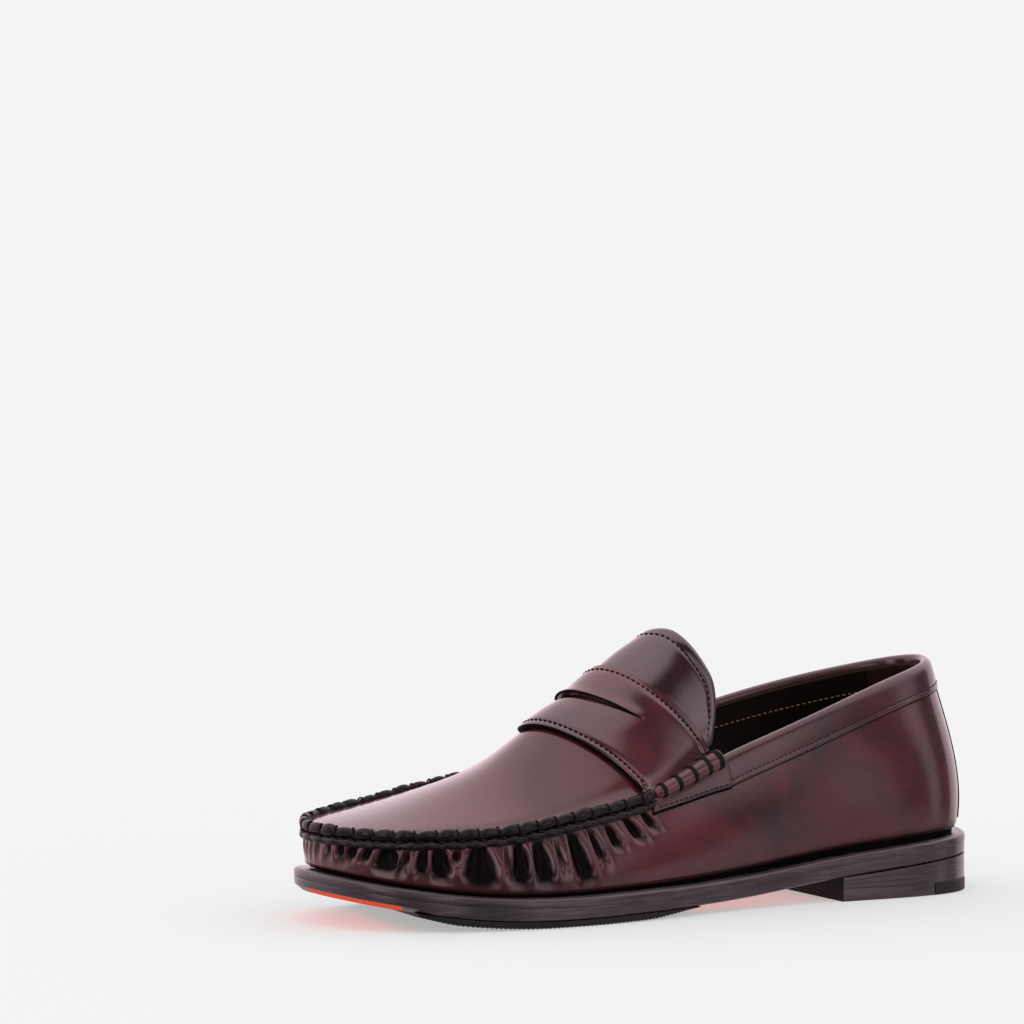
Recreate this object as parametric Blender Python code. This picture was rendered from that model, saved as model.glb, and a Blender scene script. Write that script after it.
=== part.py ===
"""Penny loafer for the left foot: sole, heel, moccasin upper, strap, tongue and lining.

Lengths below are in millimetres, x from the back of the heel to the toe, y to the
wearer's left, z up from the ground. They become metres when a mesh is made.
"""
import bmesh
import bpy
import numpy as np

MM = 0.001
BREAST = 78.6              # front face of the heel
SOLE_T = 8.6               # outsole and midsole together, at the edge
MIDSOLE_T = 3.6
RUBBER_T = 2.4             # stick-on forefoot sole
RUBBER_FROM, RUBBER_TO = 150.0, 268.0
RIB_PITCH = 4.3
RIB_DEPTH = 0.7
GAP = 0.3                  # kept between any two pieces
LEATHER_T = 1.6
LINING_T = 0.9
LINING_DEPTH = 3.5         # from the outside of the wall, with the heel counter between
BAND_WIDTH = 12.0          # collar band
BEAD_R = 1.5               # rolled top edge
SEAM_R = 1.9               # gathered moccasin seam
STRAP_T = 1.8
ROLL_R = (2.3, 3.4)        # beef roll, toe end and heel end
THREAD_R = 0.45
BINDINGS = 4               # per roll
LIFTS = 3
TOP_PIECE_T = 5.2
TIP_FROM = 33.0            # the rubber heel tip runs from here to the back

# foot x, y | top edge x, y, z | outward bulge low down, high up: round the shoe from the back of
# the heel, up the outer side, round the toe and back along the inner side
STATIONS = np.array([
    (7.5, 0.0, 19.0, 0.0, 97.0, 4.2, 6.6),
    (11.5, 15.0, 22.5, 10.5, 95.8, 4.0, 6.2),
    (22.5, 25.5, 33.0, 18.5, 92.8, 3.6, 5.6),
    (45.0, 31.0, 56.0, 26.0, 86.7, 3.0, 5.0),
    (78.0, 31.5, 84.0, 31.0, 77.5, 3.0, 4.0),
    (110.0, 33.5, 112.0, 33.5, 68.0, 3.0, 4.0),
    (140.0, 39.0, 138.0, 35.0, 58.5, 3.0, 4.0),
    (170.0, 45.5, 167.0, 38.5, 46.8, 3.0, 3.5),
    (200.0, 49.8, 200.0, 42.5, 40.5, 2.5, 3.0),
    (230.0, 49.5, 230.0, 44.0, 36.2, 2.0, 2.5),
    (257.0, 43.5, 256.0, 40.0, 35.0, 1.5, 2.0),
    (278.5, 31.5, 276.0, 30.5, 35.0, 1.5, 1.5),
    (290.2, 13.8, 289.0, 15.0, 35.8, 1.2, 1.2),
    (293.5, -3.5, 293.5, -2.5, 36.3, 1.0, 1.0),
    (288.0, -18.5, 288.5, -18.0, 37.2, 1.2, 1.0),
    (274.0, -32.0, 275.5, -30.0, 38.6, 1.5, 1.2),
    (252.0, -41.5, 255.5, -37.0, 41.3, 2.0, 2.0),
    (226.0, -42.5, 230.0, -39.5, 46.3, 3.0, 3.0),
    (200.0, -36.5, 200.0, -39.0, 51.3, 4.0, 4.0),
    (170.0, -29.0, 167.0, -37.0, 56.3, 5.0, 4.0),
    (140.0, -24.0, 138.0, -35.5, 65.0, 5.0, 4.5),
    (110.0, -23.5, 112.0, -33.5, 75.0, 5.0, 4.5),
    (78.0, -28.0, 84.0, -31.0, 83.0, 4.0, 4.5),
    (45.0, -30.5, 56.0, -26.0, 89.5, 3.5, 5.0),
    (22.5, -25.0, 33.0, -18.5, 94.2, 3.6, 5.6),
    (11.5, -15.0, 22.5, -10.5, 96.3, 4.0, 6.2),
])
ROUND = len(STATIONS)
TOE = ROUND // 2
SOLE_Z = ((0, 40, 78, 120, 150, 185, 215, 240, 265, 285, 300),
          (16.2, 13.2, 9.7, 5.2, 3.6, 2.9, 2.65, 3.7, 6.6, 9.9, 12.6))
CHANNEL = ((0, 50, 80, 130, 180, 240, 300), (3.0, 4.0, 4.0, 3.2, 2.3, 1.9, 2.5))
LEDGE = ((0, 3, 6, 9, 13, 17, 20, 23, 26), (4.2, 3.5, 4.5, 4.8, 4.4, 4.5, 4.0, 3.5, 4.2))
RIDGE = ((130, 150, 169, 187, 204, 222, 240, 260, 280, 294),
         (125, 109.8, 97.4, 83.1, 71.6, 58.5, 50.8, 44.5, 39.6, 36.4))
PEAK = ((130, 165, 195, 225, 294), (1.4, 0.44, 0.28, 0.3, 1.1))
SKEW = 0.12
TONGUE_FOOT = ((135.0, 31.0, 64.3), (150.0, 34.5, 55.0))
STRAP_FRONT = (204.9, 171.0, 0.43)      # x at the crown, x at the sides, roundness of the crown
STRAP_REAR = (176.9, 140.1, 0.37)
TONGUE_REAR = (150.3, 127.5, 0.25)
SLOT_REAR = (186.2, 145.0, 0.6)
SLOT_WIDTH = 3.2
SLOT_MID, SLOT_SPAN = 0.05, 0.62         # across the shoe, as a share of its half width
ROLL_SPAN = (5.92, 6.98)


def cubic(xs, ys):
    """Natural cubic spline through the points."""
    xs = np.asarray(xs, float)
    ys = np.asarray(ys, float)
    h = np.diff(xs)
    system = np.eye(len(xs))
    right = np.zeros(ys.shape)
    for i in range(1, len(xs) - 1):
        system[i, i - 1:i + 2] = h[i - 1], 2 * (h[i - 1] + h[i]), h[i]
        right[i] = 6 * ((ys[i + 1] - ys[i]) / h[i] - (ys[i] - ys[i - 1]) / h[i - 1])
    bend = np.linalg.solve(system, right)

    def at(x):
        x = np.clip(np.asarray(x, float), xs[0], xs[-1])
        i = np.clip(np.searchsorted(xs, x, side="right") - 1, 0, len(h) - 1)
        step = h[i]
        b = (x - xs[i]) / step
        a = 1 - b
        if ys.ndim > 1:
            a, b, step = a[..., None], b[..., None], step[..., None]
        curve = (a ** 3 - a) * bend[i] + (b ** 3 - b) * bend[i + 1]
        return a * ys[i] + b * ys[i + 1] + curve * step ** 2 / 6

    return at


def closed_cubic(rows, wrap=4):
    """Spline that runs round and round through the rows, one unit apart."""
    turns = np.arange(-wrap, len(rows) + wrap + 1)
    spline = cubic(turns, np.take(rows, turns, axis=0, mode="wrap"))
    return lambda u: spline(np.mod(u, len(rows)))


loop = closed_cubic(STATIONS)
outsole_z = cubic(*SOLE_Z)
channel = cubic(*CHANNEL)
ledge = cubic(*LEDGE)
ridge = cubic(*RIDGE)
peak = cubic(*PEAK)


def lip_z(x):
    return outsole_z(x) + SOLE_T


def foot_z(x):
    return lip_z(x) + channel(x)


def unit(v):
    return v / np.linalg.norm(v, axis=-1, keepdims=True)


def outward(u):
    """Level direction out of the shoe at the foot of the wall."""
    ahead, behind = loop(u + 0.03), loop(u - 0.03)
    d = (ahead - behind)[..., 0:2] + (ahead - behind)[..., 2:4]
    return unit(np.stack([-d[..., 1], d[..., 0]], -1))


def foot(u, inset=0.0, up=0.0):
    s = loop(u)
    xy = s[..., 0:2] - outward(u) * np.asarray(inset)[..., None]
    return np.concatenate([xy, (foot_z(xy[..., 0]) + up)[..., None]], -1)


def wall(u, v):
    """Outside of the upper: v is 0 at the sole and 1 at the top edge."""
    u, v = np.broadcast_arrays(np.asarray(u, float), np.asarray(v, float))
    s = loop(u)
    low_end = foot(u)
    top = s[..., 2:5]
    out = np.concatenate([outward(u), np.zeros(u.shape + (1,))], -1)
    rise = (top[..., 2:3] - low_end[..., 2:3]) * np.array([0, 0, 0.35])
    low = low_end + out * s[..., 5:6] + rise
    high = top + out * s[..., 6:7] - rise
    v = v[..., None]
    w = 1 - v
    return low_end * w ** 3 + 3 * low * v * w ** 2 + 3 * high * v ** 2 * w + top * v ** 3


def wall_at(u, v, off):
    """Point off the wall: positive is outside."""
    e = 0.02
    u, v, off = np.broadcast_arrays(u, v, off)
    along = wall(u + e, v) - wall(u - e, v)
    up = wall(u, v + e) - wall(u, v - e)
    return wall(u, v) + unit(np.cross(up, along)) * off[..., None]


def height(u):
    return np.linalg.norm(wall(u, 1.0) - wall(u, 0.0), axis=-1)


def v_below(u, mm):
    """The v that lies so many millimetres down from the top edge."""
    return 1 - mm / height(u)


def v_above(u, mm):
    return mm / height(u)


rows_l = np.vstack([TONGUE_FOOT, STATIONS[7:TOE + 1, 2:5]])
rows_m = np.vstack([[(x, -y, z + 6) for x, y, z in TONGUE_FOOT], STATIONS[19:TOE - 1:-1, 2:5]])
rows = np.arange(5, TOE + 1.0)
edge_l = cubic(rows, rows_l)
edge_m = cubic(rows, rows_m)
fine_rows = np.linspace(5, TOE, 401)


def row_at(x):
    middle = (edge_l(fine_rows)[:, 0] + edge_m(fine_rows)[:, 0]) / 2
    return np.interp(x, middle, fine_rows)


def bow(t, c):
    """0 at t = 0 and 1 at t = 1: a parabola for a large c, a peak for a small one."""
    return (np.sqrt(t * t + c * c) - c) / (np.sqrt(1 + c * c) - c)


def dome(r, t):
    """Instep: row r along the shoe, t from -1 at the inner seam to 1 at the outer."""
    r, t = np.broadcast_arrays(np.asarray(r, float), np.asarray(t, float))
    left, right = edge_l(r), edge_m(r)
    x = (left[..., 0] + right[..., 0]) / 2
    share = ((1 + t) / 2)[..., None]
    p = left * share + right * (1 - share)
    crown_base = (left[..., 2] * (1 + SKEW) + right[..., 2] * (1 - SKEW)) / 2
    hump = 1 - bow(t - SKEW * (1 - t * t), peak(x))
    p[..., 2] += hump * (ridge(x) - crown_base)
    return p


def dome_at(x, t, off=0.0):
    e = 0.02
    r = np.clip(row_at(x), 5.03, TOE - 0.05)
    r, t, off = np.broadcast_arrays(r, t, off)
    along = dome(r + e, t) - dome(r - e, t)
    across = dome(r, t + e) - dome(r, t - e)
    return dome(r, t) + unit(np.cross(along, across)) * off[..., None]


def sweep(shape, t):
    crown, side, c = shape
    return crown + (side - crown) * bow(t, c)


def half_width(x):
    r = row_at(x)
    return np.linalg.norm(edge_l(r) - edge_m(r), axis=-1) / 2


turn = np.arange(520) * ROUND / 520
outline = loop(turn)[:, 0:2] + outward(turn) * ledge(turn)[:, None]
X_MID = (outline[:, 0].min() + outline[:, 0].max()) / 2
Y_MID = (outline[:, 1].min() + outline[:, 1].max()) / 2
X_BACK = outline[:, 0].min()
X_TIP = outline[:, 0].max()


# ---------------------------------------------------------------- mesh making

def finish(bm, name, mat):
    bmesh.ops.recalc_face_normals(bm, faces=bm.faces)
    bmesh.ops.scale(bm, vec=(MM, MM, MM), verts=bm.verts)
    mesh = bpy.data.meshes.new(name)
    bm.to_mesh(mesh)
    bm.free()
    mesh.shade_smooth()
    mesh.set_sharp_from_angle(angle=0.7)
    mesh.materials.append(mat)
    part = bpy.data.objects.new(name, mesh)
    shoe.objects.link(part)
    return part


def place(bm, points):
    shift = np.array([X_MID, Y_MID, 0.0])
    return [bm.verts.new(p) for p in np.asarray(points).reshape(-1, 3) - shift]


def shell(name, mat, outer, inner, closed=False, keep=None):
    """Skin between two grids of points. Cells left out of keep become a hole through it."""
    nu, nv = outer.shape[:2]
    bm = bmesh.new()
    a = np.array(place(bm, outer), dtype=object).reshape(nu, nv)
    b = np.array(place(bm, inner), dtype=object).reshape(nu, nv)
    cells = nu if closed else nu - 1
    if keep is None:
        keep = np.ones((cells, nv - 1), bool)
    for i in range(cells):
        k = (i + 1) % nu
        for j in range(nv - 1):
            if not keep[i, j]:
                continue
            bm.faces.new((a[i, j], a[k, j], a[k, j + 1], a[i, j + 1]))
            bm.faces.new((b[i, j + 1], b[k, j + 1], b[k, j], b[i, j]))
            before = keep[i - 1, j] if (i or closed) else False
            after = keep[k, j] if (i + 1 < cells or closed) else False
            if not before:
                bm.faces.new((a[i, j], a[i, j + 1], b[i, j + 1], b[i, j]))
            if not after:
                bm.faces.new((a[k, j + 1], a[k, j], b[k, j], b[k, j + 1]))
            if j == 0 or not keep[i, j - 1]:
                bm.faces.new((a[k, j], a[i, j], b[i, j], b[k, j]))
            if j == nv - 2 or not keep[i, j + 1]:
                bm.faces.new((a[i, j + 1], a[k, j + 1], b[k, j + 1], b[i, j + 1]))
    loose = [v for v in bm.verts if not v.link_faces]
    bmesh.ops.delete(bm, geom=loose, context="VERTS")
    return finish(bm, name, mat)


def hoop(name, mat, sections):
    """Body whose closed section runs right round the shoe."""
    nu, nv = sections.shape[:2]
    bm = bmesh.new()
    a = np.array(place(bm, sections), dtype=object).reshape(nu, nv)
    for i in range(nu):
        k = (i + 1) % nu
        for j in range(nv):
            m = (j + 1) % nv
            bm.faces.new((a[i, j], a[k, j], a[k, m], a[i, m]))
    return finish(bm, name, mat)


def tube(name, mat, centres, radii, sides=6, closed=False):
    """Round bar along a line of points."""
    centres = np.asarray(centres, float)
    n = len(centres)
    if closed:
        ahead, behind = np.roll(centres, -1, 0), np.roll(centres, 1, 0)
    else:
        ahead = np.vstack([centres[1:], centres[-1:]])
        behind = np.vstack([centres[:1], centres[:-1]])
    way = unit(ahead - behind)
    side = unit(np.cross(way, np.array([0.0, 0.0, 1.0])))
    up = np.cross(side, way)
    angle = np.arange(sides) * 2 * np.pi / sides + np.pi / sides
    radii = np.broadcast_to(radii, (n,))
    ring = np.cos(angle)[:, None] * side[:, None, :] + np.sin(angle)[:, None] * up[:, None, :]
    grid = centres[:, None, :] + ring * radii[:, None, None]
    if closed:
        return hoop(name, mat, grid)
    bm = bmesh.new()
    a = np.array(place(bm, grid), dtype=object).reshape(n, sides)
    for i in range(n - 1):
        for j in range(sides):
            m = (j + 1) % sides
            bm.faces.new((a[i, j], a[i + 1, j], a[i + 1, m], a[i, m]))
    bm.faces.new(a[0])
    bm.faces.new(a[-1][::-1])
    return finish(bm, name, mat)


def plate(name, mat, levels, apex):
    """Stack of outlines, lowest first, capped by strips from side to side.

    With apex the first point is the middle of the heel, else the back is a straight line.
    """
    bm = bmesh.new()
    made = [place(bm, level) for level in levels]
    n = len(made[0])
    for low, high in zip(made, made[1:]):
        for i in range(n):
            k = (i + 1) % n
            bm.faces.new((low[i], low[k], high[k], high[i]))
    for ring in (made[0], made[-1]):
        first = 0
        if apex:
            bm.faces.new((ring[0], ring[1], ring[-1]))
            first = 1
        last = n if apex else n - 1
        i = first
        while i + 1 < last - i - 1:
            bm.faces.new((ring[i], ring[i + 1], ring[last - i - 1], ring[last - i]))
            i += 1
        if i + 1 == last - i - 1:
            bm.faces.new((ring[i], ring[i + 1], ring[last - i]))
    return finish(bm, name, mat)


def material(name, colour, rough, metal=0.0):
    m = bpy.data.materials.new(name)
    m.use_nodes = True
    shader = m.node_tree.nodes["Principled BSDF"]
    shader.inputs["Base Color"].default_value = (*colour, 1)
    shader.inputs["Roughness"].default_value = rough
    shader.inputs["Metallic"].default_value = metal
    return m


# ---------------------------------------------------------------- outlines of the sole

def outline_at(x, inset=0.0):
    """Left and right edge of the sole at each x."""
    tip = int(np.argmax(outline[:, 0]))
    left, right = outline[:tip + 1], outline[tip:]
    yl = np.interp(x, left[:, 0], left[:, 1])
    yr = np.interp(x, right[::-1, 0], right[::-1, 1])
    return yl - inset, yr + inset


def full_loop(count, inset, z):
    u = np.arange(count) * ROUND / count
    s = loop(u)
    xy = s[:, 0:2] + outward(u) * (ledge(u) - inset)[:, None]
    return np.column_stack([xy, z(xy[:, 0])])


def part_loop(xs, inset, z, apex=None):
    """Outline between two straight ends, or from the back of the heel if apex is its x."""
    yl, yr = outline_at(xs, inset)
    left = np.column_stack([xs, yl])
    right = np.column_stack([xs, yr])[::-1]
    xy = np.vstack([left, right])
    if apex is not None:
        xy = np.vstack([[(apex, 0.0)], xy])
    return np.column_stack([xy, z(xy[:, 0])])


def heel_xs(start):
    """Stations from the back, close together where the outline turns."""
    return start + (BREAST - start) * np.array([0.012, 0.045, 0.10, 0.18, 0.29, 0.45, 0.7, 1.0])


# ---------------------------------------------------------------- the shoe

def build_sole():
    n = 78
    split = SOLE_T - MIDSOLE_T
    plate("outsole", edge_leather, [
        full_loop(n, 1.0, lambda x: outsole_z(x)),
        full_loop(n, 0.4, lambda x: outsole_z(x) + 0.8),
        full_loop(n, 0.3, lambda x: outsole_z(x) + split - GAP),
    ], True)
    plate("midsole_welt", edge_leather, [
        full_loop(n, 0.5, lambda x: outsole_z(x) + split),
        full_loop(n, 0.0, lambda x: outsole_z(x) + split + 0.9),
        full_loop(n, 0.0, lambda x: lip_z(x) - 1.0),
        full_loop(n, 0.9, lambda x: lip_z(x)),
    ], True)
    ribs = int((RUBBER_TO - RUBBER_FROM) / RIB_PITCH)
    xs = np.linspace(RUBBER_FROM, RUBBER_TO, 2 * ribs + 1)
    skive = np.clip(np.minimum(xs - RUBBER_FROM, RUBBER_TO - xs) / 14 + 0.5, 0, 1)
    cut = RIB_DEPTH * (np.arange(len(xs)) % 2) + (1 - skive) * (RUBBER_T - 1.0)
    low = np.maximum(outsole_z(xs) - GAP - RUBBER_T, 0.0) + cut
    plate("rubber_half_sole", rubber, [
        part_loop(xs, 1.0, lambda x: np.interp(x, xs, low)),
        part_loop(xs, 0.8, lambda x: outsole_z(x) - GAP),
    ], False)


def build_heel():
    under = outsole_z(np.array([X_BACK, BREAST])) - GAP
    step = (under - TOP_PIECE_T) / LIFTS

    def level(k):
        z0, z1 = TOP_PIECE_T + step * k
        return lambda x: np.interp(x, (X_BACK, BREAST), (z0, z1))

    for k in range(LIFTS):
        apex = X_BACK + 0.7
        xs = heel_xs(apex)
        floor, roof = level(k), level(k + 1)
        plate(f"heel_lift_{k + 1}", edge_leather, [
            part_loop(xs, 0.8, lambda x: floor(x) + GAP, apex),
            part_loop(xs, 0.8, lambda x: np.maximum(roof(x), floor(x) + 0.75), apex),
        ], True)
    xs = heel_xs(X_BACK + 0.2)
    rear = np.append(xs[xs < TIP_FROM - 3], TIP_FROM)
    tip = plate("heel_rubber_tip", rubber, [
        part_loop(rear, 0.9, lambda x: 0 * x, X_BACK + 0.6),
        part_loop(rear, 0.3, lambda x: 0 * x + 0.8, X_BACK),
        part_loop(rear, 0.3, lambda x: 0 * x + TOP_PIECE_T, X_BACK),
    ], True)
    front = np.array([TIP_FROM + GAP, 44.0, 60.0, BREAST])
    plate("heel_top_piece", edge_leather, [
        part_loop(front, 0.9, lambda x: 0 * x),
        part_loop(front, 0.5, lambda x: 0 * x + TOP_PIECE_T),
    ], False)
    nails(tip)


def nails(tip):
    """Five nail heads set in clearance holes of the heel tip."""
    spots = [(9.0, 0.0), (14.0, 14.5), (14.0, -14.5), (25.0, 21.0), (25.0, -21.0)]
    pockets = bmesh.new()
    for k, (x, y) in enumerate(spots):
        at = (x - X_MID, y - Y_MID)
        made = bmesh.ops.create_cone(pockets, cap_ends=True, segments=12, radius1=1.7, radius2=1.7, depth=4.0)
        bmesh.ops.translate(pockets, vec=(*at, 0.0), verts=made["verts"])
        bm = bmesh.new()
        bmesh.ops.create_cone(bm, cap_ends=True, segments=10, radius1=1.3, radius2=1.3, depth=1.2)
        bmesh.ops.translate(bm, vec=(*at, 0.95), verts=bm.verts)
        finish(bm, f"heel_nail_{k + 1}", steel)
    cutter = finish(pockets, "nail_pockets", steel)
    shoe.objects.unlink(cutter)
    cutters.objects.link(cutter)
    cutter.hide_render = True
    cutter.display_type = "WIRE"
    cut = tip.modifiers.new("pockets", "BOOLEAN")
    cut.operation = "DIFFERENCE"
    cut.solver = "EXACT"
    cut.object = cutter


def build_bottom_filling():
    """What closes the space between midsole and upper, and the board the foot stands on."""
    def rib(xs, inset, name, mat):
        u_l = np.interp(xs, loop(np.linspace(0, TOE, 99))[:, 0], np.linspace(0, TOE, 99))
        u_r = np.interp(xs, loop(np.linspace(ROUND, TOE, 99))[:, 0], np.linspace(ROUND, TOE, 99))
        levels = []
        for z in (lambda x: lip_z(x) + GAP, lambda x: foot_z(x) - GAP):
            left = foot(u_l, inset)[:, 0:2]
            right = foot(u_r, inset)[:, 0:2]
            xy = np.vstack([left, right[::-1]])
            levels.append(np.column_stack([xy, z(xy[:, 0])]))
        plate(name, mat, levels, False)

    rib(np.linspace(110.5, 290.0, 19), 1.6, "cork_filler", cork)
    rib(np.append(np.array([10.2, 13.0, 18.0]), np.linspace(25.0, 109.5, 9)), 1.6, "heel_seat_filler", board)
    xs = np.linspace(52.0, 148.0, 9)
    half = 6.0
    y = np.interp(xs, (52, 148), (1.0, 6.0))
    levels = []
    for up in (0.25, 1.45):
        left = np.column_stack([xs, y + half, foot_z(xs) + up])
        right = np.column_stack([xs, y - half, foot_z(xs) + up])
        levels.append(np.vstack([left, right[::-1]]))
    plate("shank", steel, levels, False)
    u = np.arange(78) * ROUND / 78
    plate("insole_board", board, [foot(u, 3.9, 2.7), foot(u, 3.7, 4.5)], True)
    plate("sock_lining", tan_lining, [foot(u, 5.8, 5.0), foot(u, 6.0, 5.9)], True)


def edge_drop(u):
    """How far the wall stops below the top line: room for the bead, more beside a roll."""
    away = np.minimum(np.abs(u - 6.45), np.abs(ROUND - u - 6.45))
    return 2.1 + 3.0 * np.clip((0.95 - away) / 0.35, 0, 1)


def build_upper():
    n = 78
    u = np.arange(n) * ROUND / n
    top = v_below(u, edge_drop(u))
    steps = np.linspace(0, 1, 7)
    v = 0.04 + (top[:, None] - 0.04) * steps
    outer = wall_at(u[:, None], v, 0.0)
    low_in = np.minimum(v_above(u, 4.5), 0.3)
    back = np.linspace(1, 0, 6)
    v_in = low_in[:, None] + (top[:, None] - low_in[:, None]) * back
    inner = wall_at(u[:, None], v_in, -LEATHER_T)
    rim = np.stack([
        foot(u, LEATHER_T + 0.8, LEATHER_T),
        foot(u, 10.0, LEATHER_T),
        foot(u, 10.0, 0.0),
        foot(u, 0.9, 0.0),
    ], 1)
    hoop("moccasin_vamp", oxblood, np.concatenate([outer, inner, rim], 1))
    build_collar()
    build_lining()


def build_collar():
    u = np.linspace(-5.55, 5.55, 45)
    v = v_below(u[:, None], np.array([BAND_WIDTH, BAND_WIDTH / 2, 2.2]))
    shell("collar_band", oxblood, wall_at(u[:, None], v, 1.3), wall_at(u[:, None], v, GAP))
    u = np.linspace(-5.55, 5.55, 53)
    tube("collar_bead", oxblood, wall_at(u, 1.0, -1.0), BEAD_R, 6)
    u = np.linspace(-0.95, 0.95, 9)
    v = np.linspace(0.07, 1, 7)[None, :] * v_below(u, BAND_WIDTH + 0.5)[:, None]
    shell("back_strip", oxblood, wall_at(u[:, None], v, 1.2), wall_at(u[:, None], v, GAP))


def lining(name, mat, u, drop, rise=6.3):
    steps = np.linspace(0, 1, 4)
    low = v_above(u, rise)[:, None]
    high = v_below(u, drop)[:, None]
    v = low + (high - low) * steps
    depth = LINING_DEPTH
    shell(name, mat, wall_at(u[:, None], v, -depth), wall_at(u[:, None], v, -depth - LINING_T))


def build_lining():
    lining("heel_grip", suede, np.linspace(-1.75, 1.75, 13), 3.2)
    lining("quarter_lining_outer", tan_lining, np.linspace(1.8, 6.2, 13), 3.6)
    lining("quarter_lining_inner", tan_lining, np.linspace(ROUND - 6.2, ROUND - 1.8, 13), 3.6)
    lining("vamp_lining", tan_lining, np.linspace(6.25, ROUND - 6.25, 40), 3.4, 6.4)
    u = np.linspace(-3.6, 3.6, 21)
    low = v_above(u, 6.3)[:, None]
    high = 0.74 - 0.12 * (np.abs(u) / 3.6)[:, None] ** 2
    v = low + (high - low) * np.linspace(0, 1, 4)
    shell("heel_counter", board, wall_at(u[:, None], v, -LEATHER_T - 0.45), wall_at(u[:, None], v, -LEATHER_T - 1.25))


def plug_grid(x0, x1, count, across, margin, off):
    """Points of the instep between two lines across the shoe, held clear of the seam."""
    t = np.linspace(-1, 1, across)[None, :]
    s = np.linspace(0, 1, count)[:, None]
    x = x0(t) + (x1 - x0(t)) * (1 - (1 - s) ** 1.25)
    slant = 1 + np.clip((x - 262) / 14, 0, 2) ** 2 * 0.35
    limit = 1 - margin * slant / half_width(x)
    return dome_at(x, t * limit, off)


def build_instep():
    under_strap = lambda t: sweep(STRAP_REAR, t) + 2.0
    grid = lambda m, off, to=289.6, rows_=20, across=15: plug_grid(under_strap, to, rows_, across, m, off)
    shell("apron_plug", oxblood, grid(2.6, 0.0), grid(2.6, -LEATHER_T))
    low = -LEATHER_T - 2 * GAP
    shell("plug_lining", tan_lining, grid(5.2, low, 284.0, 20, 15), grid(5.2, low - 0.8, 284.0, 20, 15))
    low = low - 0.8 - 2 * GAP
    puff = lambda off: plug_grid(lambda t: 246.0 + 0 * t, 281.0, 7, 9, 7.0, off)
    shell("toe_puff", board, puff(low), puff(low - 0.9))
    u = np.linspace(7.15, ROUND - 7.15, 61)
    tube("apron_seam", seam_leather, wall(u, 1.0) + np.array([0, 0, 0.5]), SEAM_R, 6)


def build_strap():
    t_cells = 30
    w = np.array([0, 0.14, 0.3, 0.36, 0.42, 0.7, 1.0])
    t = np.linspace(-1, 1, t_cells + 1)[:, None]
    rear = sweep(STRAP_REAR, t)
    front = sweep(STRAP_FRONT, t)
    x = rear + (front - rear) * w[None, :]
    slot_rear = sweep(SLOT_REAR, t)
    from_mid = np.abs(t - SLOT_MID) / SLOT_SPAN
    slot_front = slot_rear + 0.9 + (SLOT_WIDTH - 0.9) * np.clip(1 - from_mid ** 2, 0, 1)
    inside = from_mid < 1.03
    x[:, 2:3] = np.where(inside, slot_rear, x[:, 2:3])
    x[:, 4:5] = np.where(inside, slot_front, x[:, 4:5])
    x[:, 3:4] = (x[:, 2:3] + x[:, 4:5]) / 2
    limit = 1 - 5.6 / half_width(x)
    middle = (np.arange(t_cells) + 0.5) * 2 / t_cells - 1
    keep = np.ones((t_cells, len(w) - 1), bool)
    keep[np.abs(middle - SLOT_MID) < SLOT_SPAN, 2:4] = False
    shell("saddle_strap", oxblood, dome_at(x, t * limit, GAP + STRAP_T), dome_at(x, t * limit, GAP), keep=keep)


def roll_line(side, s):
    """Centre of a beef roll, s from its toe end to its heel end."""
    u = ROLL_SPAN[1] + (ROLL_SPAN[0] - ROLL_SPAN[1]) * s
    u = u if side > 0 else ROUND - u
    return wall(u, 1.0) + np.array([0, side * 0.6, 0.2])


def build_rolls():
    for side, name in ((1, "outer"), (-1, "inner")):
        s = np.linspace(0, 1, 9)
        radii = np.interp(s, (0, 0.06, 1), (ROLL_R[0] * 0.8, *ROLL_R))
        tube(f"beef_roll_{name}", oxblood, roll_line(side, s), radii, 10)
        for k in range(BINDINGS):
            s = 0.14 + 0.76 * k / (BINDINGS - 1)
            centre = roll_line(side, s)
            way = unit(roll_line(side, s + 0.05) - roll_line(side, s - 0.05))
            across = unit(np.cross(way, np.array([0.0, 0.0, 1.0])))
            up = np.cross(across, way)
            a = np.arange(14)[:, None] * 2 * np.pi / 14
            r = np.interp(s, (0, 1), ROLL_R) + GAP + THREAD_R
            ring = centre + (np.cos(a) * across + np.sin(a) * up) * r
            out = unit(ring - centre)
            b = np.arange(5) * 2 * np.pi / 5
            grid = ring[:, None] + THREAD_R * (np.cos(b)[None, :, None] * out[:, None]
                                               + np.sin(b)[None, :, None] * way)
            hoop(f"roll_binding_{name}_{k + 1}", thread, grid)


def build_tongue():
    def grid(off, margin, across=13, count=9):
        t = np.linspace(-1, 1, across)[None, :]
        s = np.linspace(0, 1, count)[:, None]
        x1 = sweep(STRAP_REAR, t) - 0.9
        x0 = sweep(TONGUE_REAR, t) + margin
        x = x0 + (x1 - x0) * s
        limit = 1 - (5.4 + margin) / half_width(x)
        return dome_at(x, t * limit, off)

    shell("tongue", oxblood, grid(0.0, 0.0), grid(-LEATHER_T, 0.0))
    low = -LEATHER_T - 2 * GAP
    shell("tongue_lining", dark_lining, grid(low, 0.8), grid(low - LINING_T, 0.8))


for old in list(bpy.data.objects):
    bpy.data.objects.remove(old, do_unlink=True)
shoe = bpy.data.collections.new("penny_loafer")
cutters = bpy.data.collections.new("cutters")
bpy.context.scene.collection.children.link(shoe)
bpy.context.scene.collection.children.link(cutters)

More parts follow.
